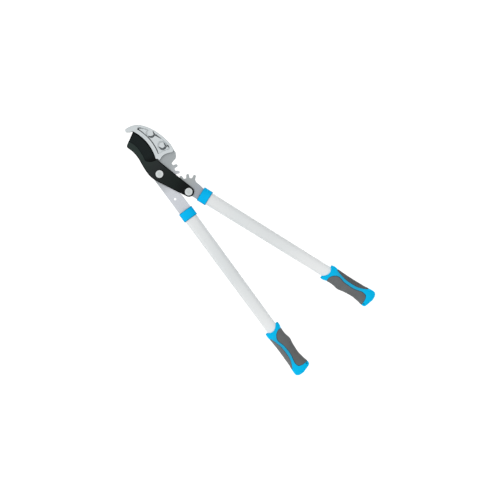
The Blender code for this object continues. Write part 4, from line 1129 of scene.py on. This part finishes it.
def grip_core(handle):
    angles = [angle for angle, _ in core_ring(handle, 0)]
    rings = [socket_ring(handle, angles, GRIP_SOCKET), socket_ring(handle, angles, 0)]
    for inset, drop in reversed(quarter(LIP_ROUND, LIP_STEPS)):
        rings.append([grip_point(handle, inset, angle, drop) for angle in angles])
    depths = [[0.0] * len(angles)] * len(rings)
    for station in core_stations():
        ring = core_ring(handle, station)
        rings.append([grip_point(handle, station, angle, depth) for angle, depth in ring])
        depths.append([depth for _, depth in ring])
    mesh = skin(rings)
    mesh.faces.ensure_lookup_table()
    count = len(angles)
    for k, (one, two) in enumerate(zip(depths, depths[1:])):
        for i, angle in enumerate(angles):
            face = mesh.faces[k * count + i]
            # Faces sunk under a pad's edge show in the gap, and get painted shadow.
            if min(one[i - 1] + one[i], two[i - 1] + two[i]) > GAP_SHADE_DROP:
                face.material_index = 1
            # The lip's two ends get painted shade.
            elif 2 <= k <= LIP_STEPS + 2 and abs(cos(radians(angle))) > LIP_SHADE_SHARE:
                face.material_index = 2
    piece = new_piece(f"{handle.name}_grip_core", mesh, handle.body, "blue_plastic",
                      GRIP_BLUE[handle.name], GAP_SHADE, BLUE_SHADE, sharp=50)
    dimple(handle, piece)


def dimple(handle, piece):
    """The small round recess near the end of the grip, square to its skin."""
    centre, ahead, behind, over, under = [
        Vector(grip_point(handle, DIMPLE_STATION + shift, DIMPLE_ANGLE + turn))
        for shift, turn in ((0, 0), (0.001, 0), (-0.001, 0), (0, 2), (0, -2))]
    along = (ahead - behind).normalized()
    out = along.cross(over - under).normalized()
    if out.z < 0:
        out = -out
    across = out.cross(along)
    rings = [[centre + out * up + (along * cos(turn) + across * sin(turn)) * radius
              for turn in turns(DIMPLE_SIDES)] for up, radius in DIMPLE_PROFILE]
    cut(piece, [skin(rings)])
    depth, slope, start = DIMPLE_SKIN
    for face in piece.data.polygons:
        away = face.center - centre
        # The grip's skin falls away from the dimple's centre, and the dimple's own faces lie deeper.
        skin_depth = depth + slope * abs(away.length - start)
        # The dimple's own faces get painted shade.
        if away.length < DIMPLE_REACH and away.dot(out) < -skin_depth:
            face.material_index = 2
    shade_smooth(piece, 50)


def grip_pad(handle, pad):
    table = PADS[pad]
    far, way = {"finger": (0, -1), "palm": (180, 1)}[pad]
    near = PAD_DROP[0]
    first, last = table[0][0] + PAD_GAP, table[-1][0] - PAD_GAP
    stations = {first + step for step in near} | {last - step for step in near}
    stations |= set(np.arange(first + 2 * STATION_STEP, last - 2 * STATION_GAP, STATION_STEP))
    outer, inner = [], []
    for station in sorted(stations):
        edge, scale = pad_edge(pad, station)
        half = [(edge + way * (PAD_GAP + step) * scale, step) for step in near]
        begin = half[-1][0]
        half += [(begin + (far - begin) * i / PAD_STEPS, 1.0) for i in range(1, PAD_STEPS + 1)]
        angles = half + [(2 * far - angle, inside) for angle, inside in reversed(half[:-1])]
        end = min(station - first, last - station)
        outer.append([grip_point(handle, station, angle, float(np.interp(min(inside, end), *PAD_DROP)))
                      for angle, inside in angles])
        inner.append([grip_point(handle, station, angle, PAD_DEPTH - AIR) for angle, _ in angles])
    rings = [one + two[::-1] for one, two in zip(outer, inner)]
    new_piece(f"{handle.name}_grip_{pad}_pad", skin(rings), handle.body, "grey_rubber",
              RUBBER[f"{handle.name}_{pad}"], sharp=60)


# Make everything

blade()
cover()
for name in BOSSES:
    rivet(name)
for fastener in (bolt, washer, nut):
    fastener("main", MAIN, "lower_handle")
    fastener("gear", GEAR, "blade_body")
for handle in HANDLES:
    tube(handle)
    collar(handle)
    grip_core(handle)
    for pad in PADS:
        grip_pad(handle, pad)

# The nodes that are shown as they were packed
KEPT = {"counter_plate": LOWER_STEEL, "gear_plate": UPPER_STEEL,
        "main_pivot_spring_washer": ZINC["main"], "gear_pivot_spring_washer": ZINC["gear"],
        "lower_tube_insert": NYLON, "upper_tube_insert": NYLON,
        "lower_tang_pin": ZINC["main"], "upper_tang_pin": ZINC["gear"]}
for name, look in KEPT.items():
    node = frame["nodes"][name]
    node.data.materials.clear()
    node.data.materials.append(look)
for name in ("counter_plate", "gear_plate"):
    soften(frame["nodes"][name], PLATE_ROUND, angle=50)

# Floor, light and camera

SKY_SIDE, KEY_SIDE = [IMAGE_RIGHT * cos(radians(turn)) + IMAGE_UP * sin(radians(turn))
                      for turn in (SKY_TURN, KEY_TURN)]

floor_mesh = bmesh.new()
bmesh.ops.create_grid(floor_mesh, x_segments=1, y_segments=1, size=FLOOR_SIZE)
floor = linked("floor", mesh_data("floor", floor_mesh))
floor_look = Finish("floor", specular=0.0)
pale = floor_look.tones(floor_look.noise(3.0), grey(0.49), grey(0.51))
for socket, value in {"Base Color": pale, "Roughness": 0.9, "Emission Color": (1, 1, 1, 1),
                      "Emission Strength": FLOOR_GLOW}.items():
    floor_look.feed(floor_look.shader.inputs[socket], value)
floor.data.materials.append(floor_look.material)

world = bpy.data.worlds.new("studio")
bpy.context.scene.world = world
world.use_nodes = True
sky = world.node_tree
toward = sky.nodes.new("ShaderNodeVectorMath")
toward.operation = "DOT_PRODUCT"
toward.inputs[1].default_value = SKY_SIDE * SKY_LEAN + Vector((0, 0, SKY_RISE))
sky.links.new(sky.nodes.new("ShaderNodeTexCoord").outputs["Generated"], toward.inputs[0])
glow = sky.nodes.new("ShaderNodeValToRGB")
sky.links.new(toward.outputs["Value"], glow.inputs["Fac"])
fill_ramp(glow, [(position, grey(level)) for position, level in SKY_LEVELS])
sky.links.new(glow.outputs["Color"], sky.nodes["Background"].inputs["Color"])
sky.nodes["Background"].inputs["Strength"].default_value = SKY_STRENGTH

softbox = bpy.data.lights.new("key", "AREA")
softbox.shape = "DISK"
softbox.size = KEY_SIZE
softbox.energy = KEY_POWER
lamp = linked("key", softbox)
lamp.location = AIM + KEY_SIDE * KEY_DISTANCE + Vector((0, 0, KEY_HEIGHT))
lamp.rotation_euler = (AIM - lamp.location).to_track_quat("-Z", "Y").to_euler()

camera = linked("camera", bpy.data.cameras.new("camera"))
camera.data.lens = LENS
camera.data.clip_end = 100
camera.location = AIM + Vector((0, 0, CAMERA_HEIGHT))
camera.rotation_euler = (0, 0, radians(CAMERA_TURN))
bpy.context.scene.camera = camera
bpy.context.scene.view_settings.view_transform = "Standard"
